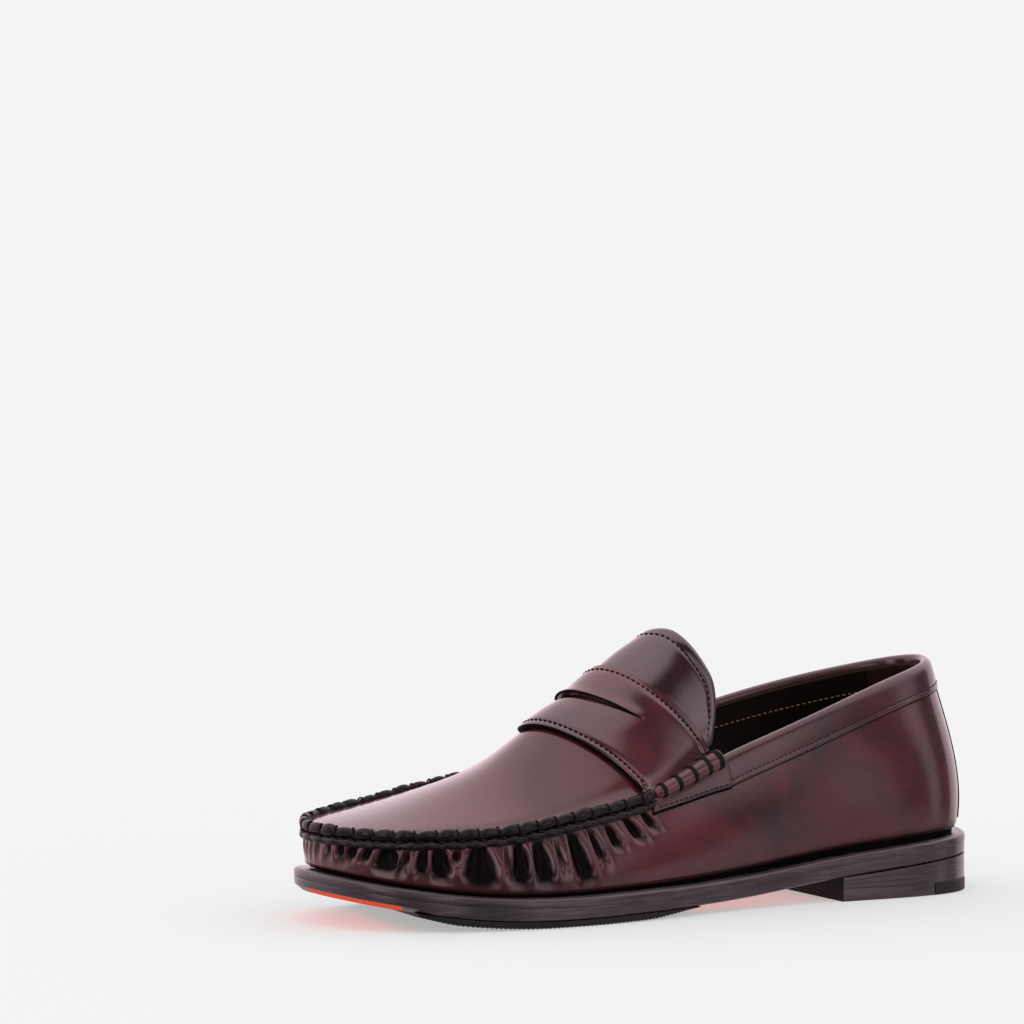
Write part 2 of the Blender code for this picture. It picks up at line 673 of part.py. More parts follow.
oxblood = material("oxblood_leather", (0.055, 0.012, 0.016), 0.22)
seam_leather = material("seam_leather", (0.03, 0.012, 0.014), 0.35)
edge_leather = material("edge_leather", (0.022, 0.019, 0.022), 0.35)
rubber = material("rubber", (0.02, 0.02, 0.022), 0.65)
tan_lining = material("tan_lining", (0.20, 0.10, 0.055), 0.6)
dark_lining = material("dark_lining", (0.07, 0.03, 0.018), 0.6)
suede = material("suede", (0.11, 0.05, 0.025), 0.9)
board = material("fibre_board", (0.30, 0.20, 0.12), 0.8)
cork = material("cork", (0.33, 0.20, 0.11), 0.9)
thread = material("thread", (0.05, 0.04, 0.045), 0.7)
steel = material("steel", (0.55, 0.55, 0.55), 0.3, 1.0)

build_sole()
build_heel()
build_bottom_filling()
build_upper()
build_instep()
build_strap()
build_rolls()
build_tongue()
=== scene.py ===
import math

import bmesh
import bpy
import numpy as np
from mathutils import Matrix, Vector


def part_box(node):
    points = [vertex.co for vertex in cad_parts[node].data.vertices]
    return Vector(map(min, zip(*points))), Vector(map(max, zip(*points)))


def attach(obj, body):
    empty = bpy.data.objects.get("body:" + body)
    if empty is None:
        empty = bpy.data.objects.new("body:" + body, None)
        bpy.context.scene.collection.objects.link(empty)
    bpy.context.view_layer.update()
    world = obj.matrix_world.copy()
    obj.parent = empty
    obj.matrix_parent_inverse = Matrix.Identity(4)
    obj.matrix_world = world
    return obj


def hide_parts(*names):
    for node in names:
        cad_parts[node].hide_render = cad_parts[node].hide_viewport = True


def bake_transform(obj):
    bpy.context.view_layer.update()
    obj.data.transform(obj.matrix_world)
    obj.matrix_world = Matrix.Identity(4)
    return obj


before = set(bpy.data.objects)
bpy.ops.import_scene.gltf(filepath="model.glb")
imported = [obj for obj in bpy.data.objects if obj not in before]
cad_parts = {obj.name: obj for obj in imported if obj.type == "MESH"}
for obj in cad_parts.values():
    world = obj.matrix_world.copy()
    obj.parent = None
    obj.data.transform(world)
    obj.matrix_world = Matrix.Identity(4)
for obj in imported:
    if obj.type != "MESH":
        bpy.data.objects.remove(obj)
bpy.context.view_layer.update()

# Lengths are in millimetres, x from the back of the heel to the toe, y to the wearer's left
# and z up, as in the CAD. They become metres in the row's frame when a mesh is made.
MM = 0.001
UP = np.array([0, 0, 1.0])
SIDES = ((1, "outer"), (-1, "inner"))
SOLE_T = 8.6
MIDSOLE_T = 3.6
STRAP_T = 1.9
BREAST = 78.6
TIP_FROM = 33.0
TOP_PIECE_T = 5.2

# Round the shoe from the back of the heel by its outer side: foot of the wall x, y; top line
# x, y, z; how far the wall bulges low down and high up.
STATIONS = np.array([
    (7.5, 0.0, 19.0, 0.0, 97.0, 4.2, 6.6),
    (11.5, 15.0, 22.5, 10.5, 95.8, 4.0, 6.2),
    (22.5, 25.5, 33.0, 18.5, 92.8, 3.6, 5.6),
    (45.0, 31.0, 56.0, 26.0, 86.7, 3.0, 5.0),
    (78.0, 31.5, 84.0, 31.0, 77.5, 3.0, 4.0),
    (110.0, 33.5, 112.0, 33.5, 68.0, 3.0, 4.0),
    (140.0, 39.0, 138.0, 35.0, 58.5, 3.0, 4.0),
    (170.0, 45.5, 167.0, 38.5, 46.8, 3.0, 3.5),
    (200.0, 49.8, 200.0, 42.5, 40.5, 2.5, 3.0),
    (230.0, 49.5, 230.0, 44.0, 36.2, 2.0, 2.5),
    (257.0, 43.5, 256.0, 40.0, 35.0, 1.5, 2.0),
    (278.5, 31.5, 276.0, 30.5, 35.0, 1.5, 1.5),
    (290.2, 13.8, 289.0, 15.0, 35.8, 1.2, 1.2),
    (293.5, -3.5, 293.5, -2.5, 36.3, 1.0, 1.0),
    (288.0, -18.5, 288.5, -18.0, 37.2, 1.2, 1.0),
    (274.0, -32.0, 275.5, -30.0, 38.6, 1.5, 1.2),
    (252.0, -41.5, 255.5, -37.0, 41.3, 2.0, 2.0),
    (226.0, -42.5, 230.0, -39.5, 46.3, 3.0, 3.0),
    (200.0, -36.5, 200.0, -39.0, 51.3, 4.0, 4.0),
    (170.0, -29.0, 167.0, -37.0, 56.3, 5.0, 4.0),
    (140.0, -24.0, 138.0, -35.5, 65.0, 5.0, 4.5),
    (110.0, -23.5, 112.0, -33.5, 75.0, 5.0, 4.5),
    (78.0, -28.0, 84.0, -31.0, 83.0, 4.0, 4.5),
    (45.0, -30.5, 56.0, -26.0, 89.5, 3.5, 5.0),
    (22.5, -25.0, 33.0, -18.5, 94.2, 3.6, 5.6),
    (11.5, -15.0, 22.5, -10.5, 96.3, 4.0, 6.2),
])
ROUND = len(STATIONS)
TOE = ROUND // 2
SOLE_Z = ((0, 40, 78, 120, 150, 185, 215, 240, 265, 285, 300),
          (16.2, 13.2, 9.7, 5.2, 3.6, 2.9, 2.65, 3.7, 6.6, 9.9, 12.6))
CHANNEL = ((0, 50, 80, 130, 180, 240, 300), (3.0, 4.0, 4.0, 3.2, 2.3, 1.9, 2.5))
LEDGE = ((0, 3, 6, 9, 13, 17, 20, 23, 26), (4.2, 3.5, 4.5, 4.8, 4.4, 4.5, 4.0, 3.5, 4.2))
RIDGE = ((130, 150, 169, 187, 204, 222, 240, 260, 280, 294),
         (125, 109.8, 97.4, 83.1, 71.6, 58.5, 50.8, 44.5, 39.6, 36.4))
PEAK = ((130, 165, 195, 225, 294), (1.4, 0.44, 0.28, 0.3, 1.1))
SKEW = 0.12
TONGUE_FOOT = ((135.0, 31.0, 64.3), (150.0, 34.5, 55.0))
STRAP_FRONT = (204.9, 171.0, 0.43)
STRAP_REAR = (174.2, 138.9, 0.37)
TONGUE_REAR = (150.3, 127.5, 0.32)
SLOT_REAR = (187.1, 146.8, 0.6)
SLOT_MID, SLOT_SPAN = 0.05, 0.62
ROLL_SPAN = (5.92, 6.98)
ROLL_RADIUS = (2.35, 3.75)
# How far across the instep the strap and the tongue run, where 1 is the top line.
REACH = 0.995
TONGUE_REACH = 0.985
# Millimetres of leather to a millimetre of x, on the strap and on the tongue.
STRAP_MM, TONGUE_MM = 0.86, 0.8
# The front stations, where the vamp and its lining start and end.
VAMP_FROM = 6.6
rng = np.random.default_rng(11)


# ---------------------------------------------------------------- the shoe's surfaces, as in the CAD

def cubic(xs, ys):
    """Natural cubic spline through the points."""
    xs = np.asarray(xs, float)
    ys = np.asarray(ys, float)
    h = np.diff(xs)
    system = np.eye(len(xs))
    right = np.zeros(ys.shape)
    for i in range(1, len(xs) - 1):
        system[i, i - 1:i + 2] = h[i - 1], 2 * (h[i - 1] + h[i]), h[i]
        right[i] = 6 * ((ys[i + 1] - ys[i]) / h[i] - (ys[i] - ys[i - 1]) / h[i - 1])
    bend = np.linalg.solve(system, right)

    def at(x):
        x = np.clip(np.asarray(x, float), xs[0], xs[-1])
        i = np.clip(np.searchsorted(xs, x, side="right") - 1, 0, len(h) - 1)
        step = h[i]
        b = (x - xs[i]) / step
        a = 1 - b
        if ys.ndim > 1:
            a, b, step = a[..., None], b[..., None], step[..., None]
        curve = (a ** 3 - a) * bend[i] + (b ** 3 - b) * bend[i + 1]
        return a * ys[i] + b * ys[i + 1] + curve * step ** 2 / 6

    return at


def closed_cubic(rows, wrap=4):
    turns = np.arange(-wrap, len(rows) + wrap + 1)
    spline = cubic(turns, np.take(rows, turns, axis=0, mode="wrap"))
    return lambda u: spline(np.mod(u, len(rows)))


loop = closed_cubic(STATIONS)
outsole_z = cubic(*SOLE_Z)
channel = cubic(*CHANNEL)
ledge_line = cubic(*LEDGE)
ridge = cubic(*RIDGE)
peak = cubic(*PEAK)


def ledge(u):
    return ledge_line(np.mod(u, ROUND))


def lip_z(x):
    return outsole_z(x) + SOLE_T


def foot_z(x):
    return lip_z(x) + channel(x)


def unit(v):
    return v / np.maximum(np.linalg.norm(v, axis=-1, keepdims=True), 1e-9)


def outward(u):
    ahead, behind = loop(u + 0.03), loop(u - 0.03)
    d = (ahead - behind)[..., 0:2] + (ahead - behind)[..., 2:4]
    return unit(np.stack([-d[..., 1], d[..., 0]], -1))


def foot(u, inset=0.0, up=0.0):
    s = loop(u)
    inset = np.asarray(inset, float)
    xy = s[..., 0:2] - outward(u) * inset[..., None]
    return np.concatenate([xy, (foot_z(xy[..., 0]) + up)[..., None]], -1)


def wall(u, v):
    u, v = np.broadcast_arrays(np.asarray(u, float), np.asarray(v, float))
    s = loop(u)
    low_end = foot(u)
    top = s[..., 2:5]
    out = np.concatenate([outward(u), np.zeros(u.shape + (1,))], -1)
    rise = (top[..., 2:3] - low_end[..., 2:3]) * np.array([0, 0, 0.35])
    low = low_end + out * s[..., 5:6] + rise
    high = top + out * s[..., 6:7] - rise
    v = v[..., None]
    w = 1 - v
    return low_end * w ** 3 + 3 * low * v * w ** 2 + 3 * high * v ** 2 * w + top * v ** 3


def wall_normal(u, v):
    e = 0.015
    along = wall(u + e, v) - wall(u - e, v)
    up = wall(u, v + e) - wall(u, v - e)
    return unit(np.cross(up, along))


def wall_at(u, v, off):
    u, v, off = np.broadcast_arrays(u, v, off)
    return wall(u, v) + wall_normal(u, v) * off[..., None]


def height(u):
    return np.linalg.norm(wall(u, 1.0) - wall(u, 0.0), axis=-1)


def below(u, drop, off):
    """Point so many millimetres down the wall from its top line, and so far out."""
    u, drop, off = np.broadcast_arrays(u, np.asarray(drop, float), off)
    v = 1 - np.maximum(drop, 0.0) / height(u)
    p = wall_at(u, v, off)
    p[..., 2] += np.maximum(-drop, 0)
    return p


# The two edges of the dome over the forepart and instep, station by station.
rows_l = np.vstack([TONGUE_FOOT, STATIONS[7:TOE + 1, 2:5]])
rows_m = np.vstack([[(x, -y, z + 6) for x, y, z in TONGUE_FOOT], STATIONS[19:TOE - 1:-1, 2:5]])
rows = np.arange(5, TOE + 1.0)
edge_l = cubic(rows, rows_l)
edge_m = cubic(rows, rows_m)
fine_rows = np.linspace(5, TOE, 1601)
fine_x = (edge_l(fine_rows)[:, 0] + edge_m(fine_rows)[:, 0]) / 2


def row_at(x):
    return np.interp(x, fine_x, fine_rows)


def bow(t, c):
    return (np.sqrt(t * t + c * c) - c) / (np.sqrt(1 + c * c) - c)


def dome(r, t):
    r, t = np.broadcast_arrays(np.asarray(r, float), np.asarray(t, float))
    left, right = edge_l(r), edge_m(r)
    x = (left[..., 0] + right[..., 0]) / 2
    share = ((1 + t) / 2)[..., None]
    p = left * share + right * (1 - share)
    crown_base = (left[..., 2] * (1 + SKEW) + right[..., 2] * (1 - SKEW)) / 2
    hump = 1 - bow(t - SKEW * (1 - t * t), peak(x))
    p[..., 2] += hump * (ridge(x) - crown_base)
    return p


def dome_normal(r, t):
    e = 0.02
    along = dome(r + e, t) - dome(r - e, t)
    across = dome(r, t + e) - dome(r, t - e)
    return unit(np.cross(along, across))


def dome_at(x, t, off=0.0):
    x, t, off = np.broadcast_arrays(x, t, off)
    r = np.clip(row_at(x), 5.06, TOE - 0.03)
    p = dome(r, t)
    ahead = dome(r + 0.03, t)
    slope = (ahead - p) / np.maximum((ahead - p)[..., :1], 0.01)
    p = p + slope * np.minimum(x - np.interp(5.06, fine_rows, fine_x), 0)[..., None]
    return p + dome_normal(r, t) * off[..., None]


def sweep_line(shape, t):
    crown, side, c = shape
    return crown + (side - crown) * bow(t, c)


def half_width(x):
    r = row_at(x)
    return np.linalg.norm(edge_l(r) - edge_m(r), axis=-1) / 2


OUTLINE_POINTS, OUTLINE_LOOP = 520, 720
turn = np.arange(OUTLINE_POINTS) * ROUND / OUTLINE_POINTS
outline = loop(turn)[:, 0:2] + outward(turn) * ledge(turn)[:, None]
welt_low, welt_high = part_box("midsole_welt")
# The part packed its own middle at the frame's origin: the welt shows by how much.
SHIFT = np.array([
    (outline[:, 0].min() + outline[:, 0].max()) / 2 - (welt_low.x + welt_high.x) / 2 / MM,
    (outline[:, 1].min() + outline[:, 1].max()) / 2 - (welt_low.y + welt_high.y) / 2 / MM,
    0.0,
])


# ---------------------------------------------------------------- mesh making

def to_row(p):
    return (np.asarray(p, float) - SHIFT) * MM


def smoothstep(x, a, b):
    t = np.clip((x - a) / (b - a), 0, 1)
    return t * t * (3 - 2 * t)


def mesh_object(name, points, faces, mat, sharp=0.8, second=None, index=None):
    """Object from points in the shoe's millimetres; index gives the faces in the second material."""
    me = bpy.data.meshes.new(name)
    me.from_pydata(to_row(points).reshape(-1, 3).tolist(), [], faces)
    me.materials.append(mat)
    if second is not None:
        me.materials.append(second)
        me.polygons.foreach_set("material_index", np.asarray(index, np.int32))
    bm = bmesh.new()
    bm.from_mesh(me)
    bmesh.ops.recalc_face_normals(bm, faces=bm.faces)
    bm.to_mesh(me)
    bm.free()
    me.shade_smooth()
    me.set_sharp_from_angle(angle=sharp)
    o = bpy.data.objects.new(name, me)
    bpy.context.scene.collection.objects.link(o)
    return o


def grid_faces(nu, nv, closed_u=False, closed_v=False, start=0):
    cells_u, cells_v = nu if closed_u else nu - 1, nv if closed_v else nv - 1
    i, j = np.meshgrid(np.arange(cells_u), np.arange(cells_v), indexing="ij")
    i2, j2 = (i + 1) % nu, (j + 1) % nv
    f = np.stack([i * nv + j, i2 * nv + j, i2 * nv + j2, i * nv + j2], -1).reshape(-1, 4) + start
    return f.tolist()


def hoop(name, grid, mat, sharp=0.8):
    """Closed section run round a closed path."""
    return mesh_object(name, grid, grid_faces(*grid.shape[:2], True, True), mat, sharp)


def bar(name, grid, mat, sharp=0.8):
    """Closed section run along an open path, with its ends filled."""
    return bars(name, [(grid, False)], mat, sharp)


def bars(name, grids, mat, sharp=0.8):
    """Several bars or hoops in one object: grids is a list of (grid, closed)."""
    points, faces, start = [], [], 0
    for grid, closed in grids:
        nu, nv = grid.shape[:2]
        faces += grid_faces(nu, nv, closed, True, start)
        if not closed:
            faces.append(list(range(start, start + nv)))
            faces.append(list(range(start + (nu - 1) * nv, start + nu * nv))[::-1])
        points.append(grid.reshape(-1, 3))
        start += nu * nv
    return mesh_object(name, np.vstack(points), faces, mat, sharp)


def skin(name, outer, inner, mat, keep=None, sharp=0.8):
    """Skin between two grids of points. Cells left out of keep are a hole through it."""
    nu, nv = outer.shape[:2]
    if keep is None:
        keep = np.ones((nu - 1, nv - 1), bool)
    faces = []
    top = nu * nv
    for i in range(nu - 1):
        for j in range(nv - 1):
            if not keep[i, j]:
                continue
            a, b, c, d = i * nv + j, (i + 1) * nv + j, (i + 1) * nv + j + 1, i * nv + j + 1
            faces.append((a, b, c, d))
            faces.append((top + d, top + c, top + b, top + a))
            for p, q, open_edge in ((a, d, i == 0 or not keep[i - 1, j]),
                                    (c, b, i == nu - 2 or not keep[i + 1, j]),
                                    (b, a, j == 0 or not keep[i, j - 1]),
                                    (d, c, j == nv - 2 or not keep[i, j + 1])):
                if open_edge:
                    faces.append((p, q, top + q, top + p))
    points = np.vstack([outer.reshape(-1, 3), inner.reshape(-1, 3)])
    used, renumbered = np.unique(np.array(faces), return_inverse=True)
    return mesh_object(name, points[used], renumbered.reshape(-1, 4).tolist(), mat, sharp)


def place(piece, slot, *nodes):
    """Fix a piece to the shoe and hide the CAD nodes it stands for. Its slot is not used."""
    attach(piece, "shoe")
    if nodes:
        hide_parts(*nodes)


def frames(path, normal, closed=False):
    """Along, side and up directions of a path lying on a surface."""
    if closed:
        along = unit(np.roll(path, -1, 0) - np.roll(path, 1, 0))
    else:
        along = unit(np.gradient(path, axis=0))
    side = unit(np.cross(along, normal))
    return along, side, unit(np.cross(side, along))


def circle(count):
    return np.arange(count) * 2 * np.pi / count


def bell(x, centre, width):
    return np.exp(-((x - centre) / width) ** 2)


def tube_grid(path, normal, radius, sides=8, closed=False, flat=1.0):
    """Round or oval section along a path: radius may vary along it."""
    along, side, up = frames(path, normal, closed)
    a = circle(sides)[None, :, None]
    r = np.broadcast_to(radius, (len(path),))[:, None, None]
    return path[:, None] + r * (np.cos(a) * side[:, None] + flat * np.sin(a) * up[:, None])


def lengths(path):
    """How far along a polyline each of its points lies."""
    return np.r_[0, np.cumsum(np.linalg.norm(np.diff(path, axis=0), axis=1))]


def stitches(name, path, normal, mat, pitch=2.7, length=1.9, radius=0.32, lift=0.12, slant=0.0):
    """Row of separate stitches lying on a surface."""
    s = lengths(path)
    count = max(int(round(s[-1] / pitch)), 1)
    at = (np.arange(count) + 0.5) * s[-1] / count
    pick = lambda f: np.stack([np.interp(at, s, f[:, k]) for k in range(3)], -1)
    along, side, up = (unit(pick(f)) for f in frames(path, normal))
    along = unit(along + slant * side)
    side = unit(np.cross(along, up))
    t = np.array([-1.0, -0.86, -0.5, 0.0, 0.5, 0.86, 1.0])
    swell = np.array([0.25, 0.75, 1.0, 1.0, 1.0, 0.75, 0.25])
    dip = np.array([-0.55, -0.25, 0.05, 0.12, 0.05, -0.25, -0.55]) * radius
    a = circle(6)[None, :, None]
    grids = []
    for c, x, y, z in zip(pick(path), along, side, up):
        line = c + t[:, None] * x * length / 2 + (dip[:, None] + lift) * z
        grids.append((line[:, None] + (np.cos(a) * y + np.sin(a) * z) * (radius * swell)[:, None, None], False))
    return bars(name, grids, mat, 1.2)


def sew(name, path, normal, thread, *sizes):
    """Row of stitches fixed to the shoe: its sizes are pitch, length, radius, lift and slant."""
    place(stitches(name, path, normal, M[thread], *sizes), "thread")


def edge_cord(name, path, u, v, radius, mat="edge_ink_and_shade"):
    """Rounded cut edge along a line on the wall: its black is the edge's ink, and also painted shade along the edge."""
    place(bar(name, tube_grid(path, wall_normal(u, v), radius), M[mat]), "seam_leather")


# ---------------------------------------------------------------- materials

class Nodes:
    """Short way of writing a node tree."""

    def __init__(self, name, **shader):
        self.material = bpy.data.materials.new(name)
        self.material.use_nodes = True
        self.tree = self.material.node_tree
        self.shader = self.tree.nodes["Principled BSDF"]
        for key, value in shader.items():
            self.shader.inputs[key.replace("_", " ")].default_value = value
        self.coordinates = self.tree.nodes.new("ShaderNodeTexCoord").outputs["Object"]

    def add(self, kind, inputs=(), **settings):
        node = self.tree.nodes.new("ShaderNode" + kind)
        for key, value in settings.items():
            setattr(node, key, value)
        for key, value in dict(inputs).items():
            self.put(node.inputs[key], value)
        return node

    def put(self, socket, value):
        if isinstance(value, bpy.types.NodeSocket):
            self.tree.links.new(value, socket)
        else:
            socket.default_value = value

    def scaled(self, scale):
        return self.add("Mapping", {"Vector": self.coordinates, "Scale": scale}).outputs["Vector"]

    def noise(self, scale, detail=3.0, rough=0.5, vector=None, distortion=0.0):
        return self.add("TexNoise", {
            "Vector": vector or self.coordinates, "Scale": scale, "Detail": detail, "Roughness": rough,
            "Distortion": distortion,
        }).outputs["Fac"]

    def ranged(self, value, **ends):
        """Value moved from 0 to 1, or from From_Min to From_Max, to To_Min to To_Max."""
        inputs = {key.replace("_", " "): end for key, end in ends.items()}
        return self.add("MapRange", {"Value": value, **inputs}).outputs["Result"]

    def math(self, operation, a, b):
        return self.add("Math", {0: a, 1: b}, operation=operation).outputs[0]

    def ramp(self, value, *stops):
        node = self.add("ValToRGB", {"Fac": value})
        elements = node.color_ramp.elements
        while len(elements) < len(stops):
            elements.new(0.5)
        for element, (place, colour) in zip(elements, stops):
            element.position = place
            element.color = (*colour, 1) if hasattr(colour, "__len__") else (colour,) * 3 + (1,)
        return node.outputs["Color"]

    def mix(self, a, b, factor, how="MIX"):
        node = self.add("Mix", data_type="RGBA", blend_type=how)
        self.put(node.inputs[0], factor)
        for k, value in ((6, a), (7, b)):
            self.put(node.inputs[k], value if isinstance(value, bpy.types.NodeSocket) else (*value, 1))
        return node.outputs[2]

    def sum(self, *pairs):
        total = None
        for value, weight in pairs:
            term = self.math("MULTIPLY", value, weight)
            total = term if total is None else self.math("ADD", total, term)
        return total

    def bump(self, value, distance, strength=1.0):
        node = self.add("Bump", {"Height": value, "Distance": distance, "Strength": strength})
        self.put(self.shader.inputs["Normal"], node.outputs["Normal"])

    def colour(self, value):
        self.put(self.shader.inputs["Base Color"], value)

    def roughness(self, value, low, high):
        self.put(self.shader.inputs["Roughness"], self.ranged(value, To_Min=low, To_Max=high))


def polished_leather(name, deep, warm, dark=0.6, rough=(0.20, 0.34), coat=0.9, creases=0.0, spec=0.6, wax=1.5):
    n = Nodes(name, Specular_IOR_Level=spec, Coat_Weight=coat, Coat_Roughness=0.08, Coat_IOR=wax, IOR=1.5)
    cloud = n.noise(22, 5, 0.6, distortion=0.6)
    patch = n.noise(60, 4, 0.6)
    between = tuple((a + b) / 2 for a, b in zip(deep, warm))
    tone = n.ramp(n.sum((cloud, 0.75), (patch, 0.25)), (0.36, deep), (0.52, between), (0.66, warm))
    streak = n.noise(9, 6, 0.65, vector=n.scaled((30, 30, 240)))
    tone = n.mix(tone, tuple(c * dark for c in deep), n.ramp(streak, (0.45, 0.0), (0.75, 0.5)))
    if name == "oxblood_upper":
        # Painted shade: the folds of the vamp and its foot by the welt are darkened almost black and matt, standing in
        # for the shade in them.
        shade = n.add("Attribute", attribute_name="painted_fold_shade").outputs["Fac"]
        tone = n.mix(tone, (0.0035, 0.0018, 0.0025), shade)
        for socket, full, least in (("Coat Weight", coat, 0.03), ("Specular IOR Level", spec, 0.04)):
            n.put(n.shader.inputs[socket], n.ranged(shade, To_Min=full, To_Max=least))
    n.colour(tone)
    pores = n.add("TexVoronoi", {"Vector": n.coordinates, "Scale": 1500}, feature="DISTANCE_TO_EDGE")
    fine = n.noise(2600, 2, 0.5)
    soft = n.noise(300, 3, 0.5)
    n.bump(n.sum((pores.outputs["Distance"], 0.05), (fine, 0.02), (soft, 0.6 + creases)), 0.00008, 0.16)
    n.roughness(n.sum((cloud, 0.5), (soft, 0.5)), *rough)
    return n.material


# Each polished leather: its name, its deep and its warm colour, and what else differs.
LEATHERS = {
    "upper": ("oxblood_upper", (0.021, 0.0042, 0.0072), (0.105, 0.0095, 0.017), dict(dark=0.55)),
    "plug": ("oxblood_plug", (0.050, 0.0075, 0.011), (0.115, 0.013, 0.019), dict(rough=(0.19, 0.30))),
    "tongue": ("oxblood_tongue", (0.015, 0.0035, 0.006), (0.048, 0.009, 0.015),
               dict(rough=(0.15, 0.25), wax=1.95)),
    "strap": ("oxblood_strap", (0.034, 0.0065, 0.011), (0.135, 0.017, 0.028),
              dict(rough=(0.16, 0.26), wax=1.8)),
    "band": ("oxblood_band", (0.024, 0.006, 0.010), (0.090, 0.011, 0.018), dict(rough=(0.24, 0.36))),
    "roll": ("oxblood_roll", (0.045, 0.010, 0.012), (0.14, 0.020, 0.024), dict(rough=(0.22, 0.34))),
    "seam": ("blackened_seam", (0.0035, 0.0025, 0.003), (0.012, 0.006, 0.007),
             dict(dark=0.5, rough=(0.26, 0.42), coat=0.32, creases=0.8, spec=0.22)),
    # The black cut edges: ink on the cut leather, and painted shade along the collar, flange, back strip and slot
    # edges.
    "edge_ink_and_shade": ("black_cut_edge", (0.0025, 0.002, 0.0025), (0.005, 0.0035, 0.004),
                   dict(dark=0.7, rough=(0.42, 0.6), coat=0.0, creases=0.6, spec=0.07)),
}


def make_materials():
    m = {key: polished_leather(name, deep, warm, **more) for key, (name, deep, warm, more) in LEATHERS.items()}

    n = Nodes("sole_edge", Specular_IOR_Level=0.55, Coat_Weight=0.7, Coat_Roughness=0.16)
    lines = n.noise(14, 6, 0.65, vector=n.scaled((5, 5, 110)))
    cloud = n.noise(30, 4, 0.6)
    n.colour(n.ramp(n.sum((lines, 0.7), (cloud, 0.3)),
                    (0.3, (0.011, 0.0075, 0.010)), (0.50, (0.033, 0.023, 0.029)), (0.72, (0.100, 0.072, 0.086))))
    n.bump(n.sum((lines, 0.8), (n.noise(900, 3), 0.25)), 0.0002, 0.5)
    n.roughness(lines, 0.24, 0.46)
    m["sole_edge"] = n.material

    n = Nodes("sole_underside", Specular_IOR_Level=0.15)
    cloud = n.noise(26, 6, 0.65, distortion=0.5)
    scuff = n.noise(10, 5, 0.7, vector=n.scaled((20, 160, 20)))
    tone = n.ramp(cloud, (0.3, (0.78, 0.050, 0.004)), (0.55, (0.95, 0.075, 0.006)), (0.8, (0.97, 0.12, 0.015)))
    n.colour(n.mix(tone, (0.30, 0.055, 0.024), n.ramp(scuff, (0.5, 0.0), (0.75, 0.5))))
    n.bump(n.sum((n.noise(1500, 3), 0.4), (scuff, 0.6)), 0.00015, 0.4)
    n.roughness(cloud, 0.38, 0.58)
    m["underside"] = n.material

    # Painted shade: the heel's breast is near black for the shade under the waist; the undersides of the heel pieces
    # share it as their own black.
    n = Nodes("black_breast", Specular_IOR_Level=0.15)
    cloud = n.noise(60, 4, 0.6)
    n.colour(n.ramp(cloud, (0.3, (0.002, 0.0018, 0.002)), (0.7, (0.006, 0.005, 0.006))))
    n.bump(n.noise(1200, 3), 0.0001, 0.4)
    n.roughness(cloud, 0.5, 0.7)
    m["breast"] = n.material

    n = Nodes("black_rubber", Specular_IOR_Level=0.4)
    cloud = n.noise(40, 4, 0.6)
    n.colour(n.ramp(cloud, (0.3, (0.007, 0.006, 0.008)), (0.7, (0.019, 0.016, 0.020))))
    n.bump(n.sum((n.noise(3200, 2), 0.5), (n.noise(500, 3), 0.5)), 0.00012, 0.5)
    n.roughness(cloud, 0.42, 0.62)
    m["rubber"] = n.material

    # The two linings are dark brown, made darker still as painted shade for the inside of the shoe; the sock keeps its
    # own colour.
    for key, deep, light, rough in (("lining", (0.005, 0.0022, 0.0015), (0.014, 0.006, 0.004), (0.42, 0.6)),
                                    ("dark_lining", (0.006, 0.0025, 0.002), (0.015, 0.0065, 0.0045), (0.40, 0.58)),
                                    ("sock", (0.016, 0.007, 0.0045), (0.036, 0.016, 0.010), (0.45, 0.65))):
        n = Nodes(key, Specular_IOR_Level=0.2)
        cloud = n.noise(30, 5, 0.6)
        n.colour(n.ramp(cloud, (0.3, deep), (0.72, light)))
        pores = n.add("TexVoronoi", {"Vector": n.coordinates, "Scale": 1100})
        n.bump(n.sum((pores.outputs["Distance"], 0.4), (n.noise(700, 3), 0.6)), 0.00015, 0.5)
        n.roughness(cloud, *rough)
        m[key] = n.material

    n = Nodes("suede", Specular_IOR_Level=0.15, Sheen_Weight=0.25, Sheen_Roughness=0.45,
              Sheen_Tint=(0.6, 0.35, 0.2, 1))
    cloud = n.noise(160, 5, 0.7)
    nap = n.noise(1800, 3, 0.6)
    tone = n.ramp(cloud, (0.3, (0.015, 0.0045, 0.0025)), (0.7, (0.040, 0.012, 0.006)))
    n.colour(n.mix(tone, (0.010, 0.003, 0.002), n.ramp(nap, (0.4, 0.0), (0.7, 0.6))))
    n.bump(n.sum((nap, 0.8), (cloud, 0.4)), 0.0004, 0.7)
    n.roughness(nap, 0.8, 0.95)
    m["suede"] = n.material

    for key, a, b in (("thread_dark", (0.004, 0.003, 0.0035), (0.016, 0.011, 0.013)),
                      ("thread_beige", (0.28, 0.145, 0.065), (0.46, 0.28, 0.14)),
                      ("cut_leather", (0.10, 0.050, 0.027), (0.19, 0.10, 0.056)),
                      ("dark_trim", (0.010, 0.005, 0.004), (0.022, 0.011, 0.008)),
                      ("board", (0.26, 0.17, 0.10), (0.38, 0.27, 0.17)),
                      # The last, near black and matt, is painted shade for the gap between the upper and the welt.
                      ("gap_shade_black", (0.0012, 0.001, 0.0012), (0.003, 0.0025, 0.003))):
        n = Nodes(key, Specular_IOR_Level=0.05 if key == "gap_shade_black" else 0.3)
        twist = n.noise(1200, 3, 0.6)
        n.colour(n.ramp(twist, (0.3, a), (0.7, b)))
        n.bump(n.noise(3000, 2), 0.00015, 0.6)
        n.roughness(twist, 0.6, 0.85)
        m[key] = n.material

